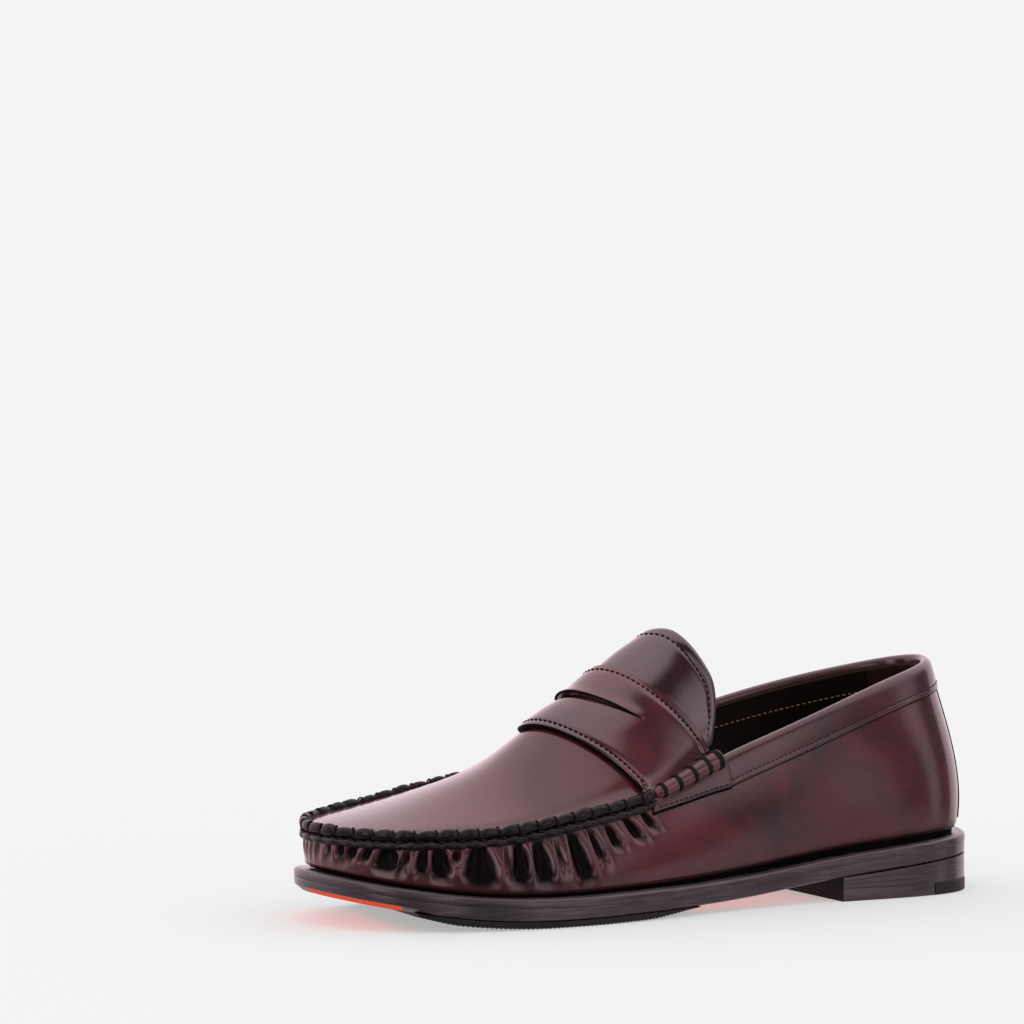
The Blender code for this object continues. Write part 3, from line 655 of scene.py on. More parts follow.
    n = Nodes("brushed_steel", Metallic=1.0)
    scratch = n.noise(60, 4, 0.6, vector=n.scaled((8, 200, 8)))
    n.colour(n.ramp(scratch, (0.3, (0.42, 0.42, 0.43)), (0.7, (0.62, 0.61, 0.60))))
    n.bump(scratch, 0.00005, 0.4)
    n.roughness(scratch, 0.25, 0.42)
    m["steel"] = n.material
    return m


M = make_materials()


# ---------------------------------------------------------------- seam and its gathers

seam_u = np.linspace(ROLL_SPAN[1] - 0.02, ROUND - ROLL_SPAN[1] + 0.02, 2400)
seam_s = lengths(wall(seam_u, 1.0))
LOBES = 38
LOBE = seam_s[-1] / LOBES


def seam_at(u):
    """Distance along the seam, in millimetres."""
    return np.interp(u, seam_u, seam_s)


# Folds of the vamp under the seam on the outer side: where each starts and ends round the shoe,
# how high up the wall it starts and ends, its width and its depth.
FOLDS = (
    (12.52, 12.45, 0.84, 0.10, 2.4, 0.6), (12.20, 12.10, 0.84, 0.12, 2.8, 0.8),
    (11.86, 11.80, 0.84, 0.14, 3.4, 1.1), (11.56, 11.62, 0.82, 0.20, 3.6, 1.3),
    (11.24, 11.34, 0.82, 0.20, 3.2, 1.3), (10.90, 10.90, 0.80, 0.14, 6.6, 2.3),
    (10.58, 10.64, 0.80, 0.12, 2.6, 1.1), (10.32, 10.36, 0.80, 0.12, 3.6, 1.7),
    (10.08, 10.06, 0.80, 0.12, 5.6, 2.3), (9.80, 9.88, 0.80, 0.34, 3.0, 1.3),
    (9.49, 9.50, 0.80, 0.06, 9.0, 2.6), (9.10, 9.12, 0.78, 0.12, 2.6, 1.0),
    (8.93, 8.94, 0.80, 0.08, 5.2, 2.4), (8.66, 8.62, 0.78, 0.10, 5.6, 2.4),
    (8.42, 8.34, 0.78, 0.26, 2.4, 0.8), (8.18, 8.04, 0.80, 0.08, 5.4, 2.5),
    (7.94, 7.78, 0.84, 0.28, 3.0, 1.3), (7.70, 7.54, 0.84, 0.45, 3.4, 1.5),
    (7.46, 7.22, 0.88, 0.50, 3.4, 1.5), (7.22, 7.00, 0.90, 0.58, 2.8, 1.2),
)


def fold_list():
    """The outer side's folds, the same a little uneven on the inner side, and faint ones at the toe."""
    folds = list(FOLDS)
    for u0, u1, v0, v1, width, depth in FOLDS:
        shift = rng.uniform(-0.05, 0.05)
        folds.append((ROUND - u0 + shift, ROUND - u1 + shift, v0, v1, width * rng.uniform(0.85, 1.15),
                      depth * rng.uniform(0.8, 1.1)))
    for u in np.arange(12.72, 13.4, 0.26):
        folds.append((u, u, 0.82, 0.05, 2.2, 0.4))
    return folds


DEEPEST, HIGHEST = 3.4, 1.1


def gather(u, v):
    """How far the vamp stands out or sinks in, from its folds."""
    depth = np.zeros(u.shape)
    scale = np.maximum(height(u), 1.0)
    step = np.linalg.norm(wall(u + 0.02, 0.6) - wall(u - 0.02, 0.6), axis=-1) / 0.04
    for u0, u1, v0, v1, width, deep in fold_list():
        k = np.clip((v0 - v) / (v0 - v1), -0.4, 1.6)
        centre = u0 + (u1 - u0) * (k + 0.10 * k * (k - 1))
        away = (u - centre) * step / (width * 0.66 * (0.55 + 0.6 * np.clip(k, 0, 1)))
        reach = smoothstep(k, -0.30, 0.50) * (1 - smoothstep(k, 0.34, 1.22))
        valley = np.exp(-np.abs(away) ** 2.6 * 0.8)
        shoulder = np.exp(-(np.abs(away) - 1.55) ** 2 * 2.6)
        depth += reach * deep * (-1.45 * valley + 0.26 * shoulder)
    ripple = 0.10 * np.sin(seam_at(u) * 2 * np.pi / LOBE) * smoothstep(v, 0.45, 0.85)
    depth = depth + ripple * ((u > 7.1) & (u < ROUND - 7.1))
    depth = np.where(depth < 0, -DEEPEST * np.tanh(-depth / DEEPEST), depth)
    return np.minimum(depth, HIGHEST) * np.clip(scale / 12, 0.5, 1.0)


def build_vamp():
    behind, front = VAMP_FROM, ROUND - VAMP_FROM
    u = np.concatenate([np.linspace(a, b, count, endpoint=False)
                        for a, b, count in ((0, behind, 170), (behind, front, 1140), (front, ROUND, 170))])
    from_back = np.minimum(u, ROUND - u)
    to_roll = np.minimum(np.abs(u - 6.45), np.abs(ROUND - u - 6.45))
    drop = 1.4 + 0.9 * smoothstep(from_back, 6.9, 7.1) + 1.2 * np.clip((0.75 - to_roll) / 0.3, 0, 1)
    top = 1 - drop / height(u)
    v = top[:, None] * np.linspace(0, 1, 54)[None, :] ** 0.9
    uu = np.broadcast_to(u[:, None], v.shape)
    lift = gather(uu, v)
    curl = -0.5 * (1 - smoothstep(v, 0.0, 0.05)) ** 2
    outer = wall_at(uu, v, lift + curl)
    outer[..., 2] -= 1.1 * (1 - smoothstep(v, 0.0, 0.12))
    v_in = top[:, None] * np.array([1.0, 0.7, 0.45, 0.28, 0.14])[None, :]
    inner = wall_at(u[:, None], v_in, -2.9 - smoothstep(from_back, 6.9, 7.2)[:, None])
    rim = [foot(u, inset, up) for inset, up in ((6.0, 2.2), (9.0, 1.2), (9.0, 0.0), (3.0, -1.3), (1.4, -1.35))]
    piece = hoop("vamp_leather", np.concatenate([outer, inner, np.stack(rim, 1)], 1), M["upper"], 1.1)
    # Painted shade: the sunken folds and the foot of the vamp are marked here, to be darkened almost black and matt in
    # its material.
    painted_fold_shade = np.zeros((len(u), outer.shape[1] + inner.shape[1] + len(rim), 4))
    folds = np.maximum(np.clip(-lift / 0.9 - 0.15, 0, 1), 0.75 * (1 - smoothstep(v, 0.0, 0.06)))
    painted_fold_shade[:, :outer.shape[1], :3] = folds[..., None]
    painted_fold_shade[..., 3] = 1
    layer = piece.data.color_attributes.new("painted_fold_shade", "FLOAT_COLOR", "POINT")
    layer.data.foreach_set("color", painted_fold_shade.reshape(-1))
    place(piece, "oxblood_leather", "moccasin_vamp")


def build_seam():
    n = 1900
    s = np.linspace(0, seam_s[-1], n)
    u = np.interp(s, seam_s, seam_u)
    out = np.column_stack([outward(u), np.zeros(n)])
    phase = s / LOBE * 2 * np.pi
    ends = smoothstep(s, 0, 4) * (1 - smoothstep(s, seam_s[-1] - 4, seam_s[-1]))
    a = circle(16)[None, :]
    cos, sin = np.cos(a)[..., None], np.sin(a)[..., None]
    pinch = np.abs(np.sin((phase[:, None] + 0.75 * np.sin(a)) / 2)) ** 0.42
    uneven = 1 + 0.10 * np.sin(phase * 0.29 + 0.4) + 0.07 * np.sin(phase * 0.53)
    size = (0.58 + 0.44 * pinch) * ((0.6 + 0.4 * ends) * uneven)[:, None]
    drop = 0.55 * (1 - np.abs(np.sin(phase / 2)) ** 0.6)
    wobble = 0.16 * np.sin(phase * 0.37 + 1.1) + 0.12 * np.sin(phase * 0.71)
    centre = wall(u, 1.0) + out * (0.55 + 0.25 * wobble)[:, None] + UP * (0.25 - drop)[:, None]
    section = cos * out[:, None] * 1.75 + sin * (UP * 2.25)
    ridge_piece = bar("seam_ridge", centre[:, None] + section * size[..., None], M["seam"], 1.2)
    low_v = 1 - 3.7 / height(u)
    centre = wall_at(u, low_v, 0.55 + 0.12 * np.sin(phase + 0.8))
    size = 0.62 + 0.42 * np.abs(np.sin(phase[:, None] / 2 + 0.9 - 0.5 * np.sin(a))) ** 0.45
    size = size * (0.5 + 0.5 * ends)[:, None]
    up = unit(wall(u, np.minimum(low_v + 0.02, 1)) - wall(u, low_v))
    section = cos * wall_normal(u, low_v)[:, None] * 1.15 + sin * up[:, None] * 1.45
    strip = bar("seam_strip", centre[:, None] + section * size[..., None], M["seam"], 1.2)
    place(ridge_piece, "seam_leather", "apron_seam")
    place(strip, "seam_leather")
    loops = []
    for k in range(1, LOBES):
        uk = float(np.interp(k * LOBE, seam_s, seam_u))
        o = np.append(outward(np.array(uk)), 0.0)
        way = unit(np.asarray(wall(uk + 0.02, 1.0) - wall(uk - 0.02, 1.0)))
        c = wall(uk, 1.0) + o * 0.55 + UP * 0.15
        angle = np.linspace(-1.45, 2.7, 18)[:, None]
        arc = c + np.cos(angle) * o * 1.62 + np.sin(angle) * (UP * 2.0) + way * np.linspace(-0.9, 0.9, 18)[:, None]
        loops.append((tube_grid(arc, unit(arc - c), 0.34, 6), False))
    place(bars("seam_thread", loops, M["thread_dark"], 1.2), "thread")
    v = 1 - 2.5 / height(u)
    pitch = LOBE / 2
    sew("seam_running_stitch", wall_at(u, v, 1.15), wall_normal(u, v), "thread_dark",
        pitch, pitch * 0.8, 0.38, 0.0, 0.2)


def build_plug():
    rear, toe_from, toe = 6.2, 12.6, 12.985
    r = np.concatenate([np.linspace(0, 1, 240, endpoint=False) * (toe_from - rear) + rear,
                        toe_from + (toe - toe_from) * (1 - (1 - np.linspace(0, 1, 60)) ** 2)])
    quarter = math.pi / 2 * 0.93
    t = np.sin(np.linspace(-1, 1, 150) * quarter) / math.sin(quarter)
    rr, tt = np.meshgrid(r, t, indexing="ij")
    x = (edge_l(rr)[..., 0] + edge_m(rr)[..., 0]) / 2
    start = sweep_line(STRAP_REAR, tt) + 3.0
    x_new = np.maximum(x, start + (x - x[0]) * 0.02)
    rr = np.where(x < start, row_at(x_new), rr)
    p = dome(rr, tt)
    normal = dome_normal(np.clip(rr, 5.03, TOE - 0.02), tt)
    rim = np.minimum((1 - np.abs(tt)) * half_width(x_new), 40)
    dip = -0.30 * bell(rim, 2.8, 1.6) + 0.3 * bell(rim, 0, 1.4)
    outer = p + normal * (dip * (1 - smoothstep(rr, 12.75, 12.95)))[..., None]
    place(skin("plug_leather", outer, p - normal * 1.6, M["plug"], sharp=1.0), "oxblood_leather", "apron_plug")


# ---------------------------------------------------------------- strap, rolls, tongue

def strap_lines(t):
    """The strap's rear and front x, and the slot's two edges as shares of the way between them."""
    rear = sweep_line(STRAP_REAR, t)
    front = sweep_line(STRAP_FRONT, t)
    k = (t - SLOT_MID) / SLOT_SPAN
    end = SLOT_MID + SLOT_SPAN * np.sign(k)
    at_end = sweep_line(STRAP_REAR, end)
    share_end = (sweep_line(SLOT_REAR, end) - at_end) / (sweep_line(STRAP_FRONT, end) - at_end)
    slot_rear = np.where(np.abs(k) < 1, (sweep_line(SLOT_REAR, t) - rear) / (front - rear), share_end)
    width = 0.25 + 2.3 * np.clip(1 - k * k, 0, 1) ** 0.8 * (1 + 0.35 * bell(k, 0, 0.12))
    return rear, front, slot_rear, slot_rear + width / (front - rear)


def build_strap():
    count = 260
    t = np.linspace(-1, 1, count)[:, None]
    rear, front, a, b = strap_lines(t)
    n1, n2, n3 = 16, 4, 30
    w = np.concatenate([np.linspace(0, 1, n1)[None, :] * a,
                        a + (b - a) * np.linspace(0, 1, n2 + 1)[None, 1:],
                        b + (1 - b) * np.linspace(0, 1, n3 + 1)[None, 1:]], 1)
    x = rear + (front - rear) * w
    from_front = (front - x) * STRAP_MM
    from_rear = (x - rear) * STRAP_MM
    from_slot = (x - (rear + (front - rear) * a)) * STRAP_MM
    inside = np.clip(1 - ((t - SLOT_MID) / SLOT_SPAN) ** 2, 0, 1)
    lip = np.where(from_slot <= 0.01, bell(from_slot, 0, 1.6), 0) * inside ** 0.5 * 0.85
    sink = np.where(from_slot > 0.01, bell(from_slot, 0, 5.0), 0) * inside * -0.9
    pillow = 0.55 * (1 - bell(from_front, 0, 2.0)) * (1 - bell(from_rear, 0, 2.2))
    grooves = -0.28 * bell(from_front, 2.1, 0.6) - 0.28 * bell(from_rear, 1.7, 0.6)
    bead = 0.40 * bell(from_front, 0.8, 0.7)
    off = STRAP_T + pillow + grooves + bead + lip + sink - 1.3 * bell(np.abs(t), 1, 0.045)
    outer = dome_at(x, t * REACH, off)
    inner = dome_at(x, t * REACH, 0.2 + np.where(from_slot <= 0.01, lip * 0.6, 0))
    keep = np.ones((count - 1, w.shape[1] - 1), bool)
    middle = ((t[1:] + t[:-1]) / 2)[:, 0]
    keep[np.abs(middle - SLOT_MID) < SLOT_SPAN - 0.004, n1 - 1:n1 - 1 + n2] = False
    piece = skin("strap_leather", outer, inner, M["strap"], keep=keep, sharp=0.9)
    place(piece, "oxblood_leather", "saddle_strap")
    along = np.linspace(-0.97, 0.97, 200)

    def on_strap(line, mm, lift):
        at = sweep_line(line, along) + mm / STRAP_MM
        return dome_at(at, along * REACH, lift), dome_normal(row_at(at), along * REACH)

    sew("strap_front_stitches", *on_strap(STRAP_FRONT, -2.1, STRAP_T + 0.30), "thread_dark", 2.3, 1.75, 0.27, 0.1)
    sew("strap_rear_stitches", *on_strap(STRAP_REAR, 1.7, STRAP_T + 0.20), "thread_dark", 2.3, 1.75, 0.27, 0.1)
    cut = tube_grid(*on_strap(STRAP_FRONT, -0.20, 1.15), 0.82, 10, flat=1.25)
    place(bar("strap_cut_edge", cut, M["edge_ink_and_shade"]), "seam_leather")
    k = np.linspace(-0.97, 0.97, 120)
    fade = np.sqrt(np.clip(1 - k ** 2, 0, 1))
    t = SLOT_MID + SLOT_SPAN * k
    x = sweep_line(SLOT_REAR, t)
    line = dome_at(x + 0.2, t * REACH, STRAP_T + 0.2 + 0.9 * fade)
    cut = tube_grid(line, dome_normal(row_at(x), t * REACH), 0.24 + 0.30 * fade)
    place(bar("slot_cut_edge", cut, M["edge_ink_and_shade"]), "seam_leather")


def roll_u(side, s):
    """Where round the shoe the roll is, from its front end at s = 0 to its back end at 1."""
    u = ROLL_SPAN[1] + (ROLL_SPAN[0] - ROLL_SPAN[1]) * np.asarray(s, float)
    return u if side > 0 else ROUND - u


def roll_line(side, s):
    return wall(roll_u(side, s), 1.0) + np.array([0, side * 0.7, 0.3])


BINDING_AT = (0.09, 0.31, 0.54, 0.76, 0.95)


def build_rolls():
    for side, name in SIDES:
        s = np.linspace(-0.02, 1.02, 150)
        pinch = sum(bell(s, b, 0.022) for b in BINDING_AT)
        r = np.interp(s, (0, 1), ROLL_RADIUS) * (1 - 0.16 * pinch) + 0.25
        r *= np.sqrt(np.clip((s + 0.06) / 0.12, 0, 1)) * np.sqrt(np.clip((1.045 - s) / 0.06, 0, 1))
        roll = bar(f"roll_{name}", tube_grid(roll_line(side, s), UP, np.maximum(r, 0.3), 24), M["roll"], 1.2)
        place(roll, "oxblood_leather", f"beef_roll_{name}")
        coils = []
        for b in BINDING_AT:
            for shift in ((-0.012, 0.012) if b < 0.9 else (-0.035, -0.010, 0.015)):
                c = roll_line(side, b + shift)
                way = unit(roll_line(side, b + 0.03) - roll_line(side, b - 0.03))
                across = unit(np.cross(way, UP))
                a = circle(40)[:, None]
                radius = float(np.interp(b, (0, 1), ROLL_RADIUS)) * 0.86 + 0.62
                ring = c + (np.cos(a) * across + np.sin(a) * np.cross(across, way)) * radius
                coils.append((tube_grid(ring, unit(ring - c), 0.42, 7, True), True))
        wraps = bars(f"roll_lashing_{name}", coils, M["thread_dark"], 1.2)
        place(wraps, "thread", *[f"roll_binding_{name}_{k}" for k in (1, 2, 3, 4)])
        build_flange(side, name)


def build_flange(side, name):
    """Two-layer flap that the roll is lashed down to, with its cut edge and stitches."""
    s = np.linspace(-0.06, 1.14, 60)
    u = roll_u(side, s)
    width = 5.4 + 5.1 * np.clip(s, 0, 1.1) ** 1.2
    low = 1.5 + width
    d = np.linspace(0, 1, 12)[None, :]
    drop = 1.5 + d * width[:, None]
    edge = np.clip(np.minimum(d * 1.5 + 0.4, (1 - d) * 9), 0, 1)
    ends = np.clip(np.minimum((s + 0.075) * 26, (1.155 - s) * 26), 0, 1)[:, None]
    outer = below(u[:, None], drop, 0.15 + 1.35 * np.sqrt(edge) * np.sqrt(ends))
    flap = skin(f"roll_flange_{name}", outer, below(u[:, None], drop, -0.6), M["band"], sharp=0.9)
    place(flap, "oxblood_leather")
    edge_cord(f"roll_flange_cut_edge_{name}", below(u, low, 0.35), u, 1 - low / height(u), 0.55)
    row, normal = below(u, low - 1.5, 1.45), wall_normal(u, 1 - width / height(u))
    sew(f"roll_flange_stitches_{name}", row[3:-3], normal[3:-3], "thread_dark", 2.4, 1.8, 0.27, 0.05)


def tongue_rear(t):
    corner = np.clip((np.abs(t) - 0.76) / 0.24, 0, 1)
    return sweep_line(TONGUE_REAR, t) - 1.3 * smoothstep(np.abs(t), 0.1, 0.4) + 10.7 * corner ** 2


def build_tongue():
    t = np.linspace(-1, 1, 150)[None, :]
    s = np.linspace(0, 1, 110)[:, None]
    rear = tongue_rear(t)
    x = rear + (sweep_line(STRAP_REAR, t) + 5.0 - rear) * s
    rim = np.minimum((x - rear) * TONGUE_MM, (1 - np.abs(t)) * half_width(x))
    edge = -0.22 * bell(rim, 2.7, 0.6) - 0.4 * bell(rim, 0, 0.5)
    fan = 0.35 * np.sin(t * 9 + 1.5) * smoothstep(s, 0.1, 0.5) * (1 - smoothstep(s, 0.7, 1.0)) * (1 - t * t)
    outer = dome_at(x, t * TONGUE_REACH, edge + fan)
    inner = dome_at(x, t * TONGUE_REACH, -1.7)
    piece = skin("tongue_leather", outer, inner, M["tongue"], sharp=1.0)
    inner = dome_at(x + 0.25, t * (TONGUE_REACH - 0.004), -1.75)
    deep = dome_at(x + 0.35, t * (TONGUE_REACH - 0.008), -2.9 + 0.4 * bell(rim, 0, 0.7))
    lining = skin("tongue_lining_leather", inner, deep, M["dark_lining"], sharp=1.0)
    t = np.linspace(-0.97, 0.97, 300)
    x, t = tongue_rear(t) + 2.7 / TONGUE_MM, t * TONGUE_REACH
    normal = dome_normal(row_at(x), t)
    row = stitches("tongue_stitches", dome_at(x, t, -0.1), normal, M["thread_dark"], 2.5, 1.85, 0.27, 0.08)
    row_in = stitches("tongue_lining_stitches", dome_at(x, t, -2.95), -normal, M["thread_beige"],
                      2.5, 1.8, 0.26, 0.05)
    t = np.linspace(-0.985, 0.985, 300)
    x, t = tongue_rear(t) + 0.15, t * TONGUE_REACH
    cut = tube_grid(dome_at(x, t, -1.55), dome_normal(row_at(x), t), 0.62)
    cut = bar("tongue_cut_edge", cut, M["cut_leather"])
    # The real tongue bends up and back from under the strap; here its pieces follow the dome, and start is not used.
    start = Vector(to_row(dome_at(np.array(176.5), np.array(SKEW))))
    for q, slot in ((piece, "oxblood_leather"), (lining, "dark_lining"), (row, "thread"), (row_in, "thread"),
                    (cut, "oxblood_leather")):
        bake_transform(q)
    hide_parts("tongue")
    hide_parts("tongue_lining")


# ---------------------------------------------------------------- collar, back strip, lining

# Section of the collar's band and rolled edge: millimetres down from the top line, and out.
BAND_SECTION = np.array([
    (12.1, -0.2), (12.1, 0.75), (11.85, 1.12), (11.2, 1.25), (10.4, 1.10), (9.8, 1.02), (9.2, 1.10),
    (7, 1.25), (4, 1.25), (2.2, 1.10), (1.0, 0.72), (0.1, 0.05), (-0.5, -0.9), (-0.45, -1.9),
    (0.1, -2.8), (1.0, -3.25), (2.6, -3.45), (2.6, -3.0), (1.2, -2.2), (1.2, -1.0), (3.0, -0.3),
])


def build_collar():
    u = np.linspace(-5.86, 5.86, 520)
    drop, off = BAND_SECTION[:, 0][None, :], BAND_SECTION[:, 1][None, :]
    wave = 0.05 * np.sin(u * 5.1)[:, None]
    band = bar("collar_band_leather", below(u[:, None], drop + wave * (drop > 8), off), M["band"], 0.9)
    place(band, "oxblood_leather", "collar_band", "collar_bead")
    row, low = 9.8, 12.15
    sew("collar_stitches", below(u, row, 1.02), wall_normal(u, 1 - row / height(u)), "thread_dark",
        2.2, 1.6, 0.25, 0.06)
    edge_cord("collar_cut_edge", below(u, low, 0.45), u, 1 - low / height(u), 0.42)
    place(bar("lining_edge", tube_grid(below(u, 2.9, -3.55), UP, 0.62), M["dark_trim"]), "brown_lining")


def build_back_strip():
    def strip_half(s):
        return 0.60 + 0.42 * (1 - s) ** 1.5

    def strip_v(u, s):
        foot_v = 0.015
        return foot_v + (1 - 12.0 / height(u) - foot_v) * s

    s = np.linspace(0, 1, 90)[:, None]
    w = np.linspace(-1, 1, 40)[None, :]
    half = strip_half(s)
    u = half * w
    v = strip_v(u, s)
    rim = (1 - np.abs(w)) * half * 10.2
    off = 0.12 + 0.85 * np.sqrt(np.clip(rim / 0.8, 0, 1)) - 0.2 * bell(rim, 2.0, 0.5)
    curl = -0.9 * (1 - smoothstep(v, 0.0, 0.07)) ** 2
    outer, inner = wall_at(u, v, off + curl), wall_at(u, v, -0.6 + curl)
    strip = skin("back_strip_leather", outer, inner, M["upper"], sharp=0.9)
    place(strip, "oxblood_leather", "back_strip")
    s = np.linspace(0.02, 0.99, 120)
    for side, name in SIDES:
        u = side * strip_half(s)
        v = strip_v(u, s)
        edge_cord(f"back_strip_cut_edge_{name}", wall_at(u, v, 0.35), u, v, 0.42)
        u = side * (strip_half(s) - 0.195)
        v = strip_v(u, s)
        row, normal = wall_at(u, v, 0.8), wall_normal(u, v)
        sew(f"back_strip_stitches_{name}", row, normal, "thread_dark", 2.3, 1.7, 0.25, 0.05)


def inside_skin(name, u, drop, depth, thick, mat, slot, node):
    """Lining along the wall's inner face, from 5.9 mm above its foot to so far below its top."""
    low, high = 5.9 / height(u)[:, None], 1 - drop / height(u)[:, None]
    v = low + (high - low) * np.linspace(0, 1, 26)[None, :]
    outer, inner = wall_at(u[:, None], v, -depth), wall_at(u[:, None], v, -depth - thick)
    place(skin(name, outer, inner, M[mat]), slot, node)


def build_inside():
    for name, a, b in (("outer", 1.7, 6.6), ("inner", ROUND - 6.6, ROUND - 1.7)):
        inside_skin(f"quarter_lining_leather_{name}", np.linspace(a, b, 90), 2.4, 3.1, 0.8,
                    "lining", "brown_lining", f"quarter_lining_{name}")
    inside_skin("heel_grip_suede", np.linspace(-2.05, 2.05, 100), 2.8, 4.0, 0.7, "suede", "suede", "heel_grip")
    inside_skin("vamp_lining_leather", np.linspace(6.7, ROUND - 6.7, 420), 0.3, 4.6, 0.8,
                "lining", "brown_lining", "vamp_lining")
    # The folded edges inside the apron seam, which keep the light out.
    u = np.linspace(VAMP_FROM, ROUND - VAMP_FROM, 900)
    v = 1 - 1.3 / height(u)
    edge_cord("seam_allowance", wall_at(u, v, -2.0), u, v, 1.3, "dark_trim")
    for side, name in SIDES:
        u = np.linspace(2.0, 6.1, 300)
        u = u if side > 0 else ROUND - u
        v = 1 - 11.5 / height(u)
        row, normal = wall_at(u, v, -4.0), -wall_normal(u, v)
        sew(f"lining_stitches_{name}", row, normal, "thread_beige", 2.6, 1.6, 0.23, 0.05)
        v = np.linspace(0.12, 0.93, 120)
        for k, across in enumerate((1.98, 1.86)):
            u = np.full(120, side * across)
            row, normal = wall_at(u, v, -4.75), -wall_normal(u, v)
            sew(f"grip_stitches_{name}_{k + 1}", row, normal, "thread_dark", 2.4, 1.7, 0.24, 0.05)
    u = np.linspace(0, TOE, 140)
    w = np.linspace(-1, 1, 41)[None, :]
    share = ((1 + w) / 2)[..., None]
    top = foot(u, 5.0)[:, None] * share + foot(ROUND - u, 5.0)[:, None] * (1 - share)
    x = top[..., 0]
    low = top.copy()
    cup = 2.0 * np.abs(w) ** 3 * (1 - smoothstep(x, 90, 200)) + 0.8 * np.abs(w) ** 3
    top[..., 2] = foot_z(x) + 5.6 + cup
    low[..., 2] = foot_z(x) + 4.6
    place(skin("sock_leather", top, low, M["sock"], sharp=1.0), "brown_lining", "sock_lining")


# ---------------------------------------------------------------- sole and heel

def outline_at(x, inset):
    """The sole's left and right y at x."""
    tip, back = int(np.argmax(outline[:, 0])), int(np.argmin(outline[:, 0]))
    left = outline[back:tip + 1] if back < tip else np.vstack([outline[back:], outline[:tip + 1]])
    right = outline[tip:][::-1]
    return np.interp(x, left[:, 0], left[:, 1]) - inset, np.interp(x, right[:, 0], right[:, 1]) + inset


def cap_faces(ring, apex):
    """Strips across an outline: ring is a list of vertex numbers."""
    faces = []
    n = len(ring)
    i = 0
    if apex:
        faces.append((ring[0], ring[1], ring[-1]))
        i = 1
    last = n if apex else n - 1
    while i + 1 < last - i - 1:
        faces.append((ring[i], ring[i + 1], ring[last - i - 1], ring[last - i]))
        i += 1
    if i + 1 == last - i - 1:
        faces.append((ring[i], ring[i + 1], ring[last - i]))
    return faces


def stack(name, levels, apex, mat, bottom=None, sharp=0.6, bare=None, front=None):
    """Outlines one above another, capped. The second material, bottom, is on the underside, on the
    lowest side faces between the two x in bare, and on the flat front, which starts at a vertex."""
    n = len(levels[0])
    points = np.vstack(levels)
    faces = []
    for k in range(len(levels) - 1):
        a = np.arange(n) + k * n
        b = np.roll(a, -1)
        faces += np.stack([a, b, b + n, a + n], -1).tolist()
    index = [0] * len(faces)
    if bare is not None:
        for k in range(2 * n):
            ends = [points[corner][0] for corner in faces[k][:2]]
            index[k] = int(bare[0] < min(ends) and max(ends) < bare[1])
    if front is not None:
        for k in range(len(levels) - 1):
            index[k * n + front] = 1
    low = cap_faces(list(range(n)), apex)
    high = cap_faces(list(range((len(levels) - 1) * n, len(levels) * n)), apex)
    faces += low + high
    index += [1] * len(low) + [0] * len(high)
    return mesh_object(name, points, faces, mat, sharp, bottom or mat, index)


def full_loop(inset, z):
    """The whole outline of the sole, at height z(x)."""
    u = np.arange(OUTLINE_LOOP) * ROUND / OUTLINE_LOOP
    xy = loop(u)[:, 0:2] + outward(u) * (ledge(u) - inset)[:, None]
    return np.column_stack([xy, z(xy[:, 0])])


def part_loop(xs, inset, z, apex=None):
    """The outline between the first and last of xs, at height z(x), closed behind at apex."""
    yl, yr = outline_at(xs, inset)
    xy = np.vstack([np.column_stack([xs, yl]), np.column_stack([xs, yr])[::-1]])
    if apex is not None:
        xy = np.vstack([[(apex, 0.0)], xy])
    return np.column_stack([xy, z(xy[:, 0])])


def build_sole():
    split = SOLE_T - MIDSOLE_T
    # Inset and height of each level: the outsole's lower edge is bevelled towards the toe, so its
    # heights are given behind and at the toe.
    upper_levels = ((0.14, split - 1.0), (0.16, split - 0.25), (0.32, split - 0.06))
    outsole_levels = ((9.0, 0.0, 0.0), (3.2, 0.0, 0.12), (0.75, 0.30, 1.75), (0.30, 0.8, 2.1),
                      *((inset, h, h) for inset, h in upper_levels))
    levels = [full_loop(inset, lambda x: outsole_z(x) + (behind + (ahead - behind) * smoothstep(x, 260, 274)))
              for inset, behind, ahead in outsole_levels]
    outsole = stack("outsole_leather", levels, True, M["sole_edge"], M["underside"], bare=(271.5, 294.4))
    welt_levels = ((0.32, split - 0.05), (0.10, split + 0.12), (0.03, split + 0.5), (0.0, split + 1.4),
                   (0.0, SOLE_T - 1.9), (0.22, SOLE_T - 1.0), (0.7, SOLE_T - 0.42), (1.4, SOLE_T - 0.1),
                   (2.0, SOLE_T), (2.35, SOLE_T - 0.3), (2.75, SOLE_T), (5.0, SOLE_T))
    levels = [full_loop(inset, lambda x: outsole_z(x) + h) for inset, h in welt_levels]
    welt = stack("welt_leather", levels, True, M["sole_edge"])
    place(outsole, "edge_leather", "outsole")
    place(welt, "edge_leather", "midsole_welt")
    x0, x1, rib_pitch = 150.0, 268.0, 1.75
    xs = np.linspace(x0, x1, 3 * int((x1 - x0) / rib_pitch) + 1)
    saw = np.array([0.0, 0.55, 0.55])[np.arange(len(xs)) % 3]
    skive = smoothstep(xs, x0 - 4, x0 + 26) * (0.35 + 0.65 * smoothstep(x1 - xs, -4, 16))
    low = outsole_z(xs) - np.minimum(2.75, outsole_z(xs)) * (0.10 + 0.90 * skive) + saw * skive
    z_low = lambda x: np.interp(x, xs, low)
    z_top = lambda x: outsole_z(x) - 0.05
    levels = [part_loop(xs, 0.9, z_low), part_loop(xs, 0.55, lambda x: z_low(x) * 0.5 + z_top(x) * 0.5),
              part_loop(xs, 0.5, z_top)]
    place(stack("half_sole_rubber", levels, False, M["rubber"], sharp=0.4), "rubber", "rubber_half_sole")


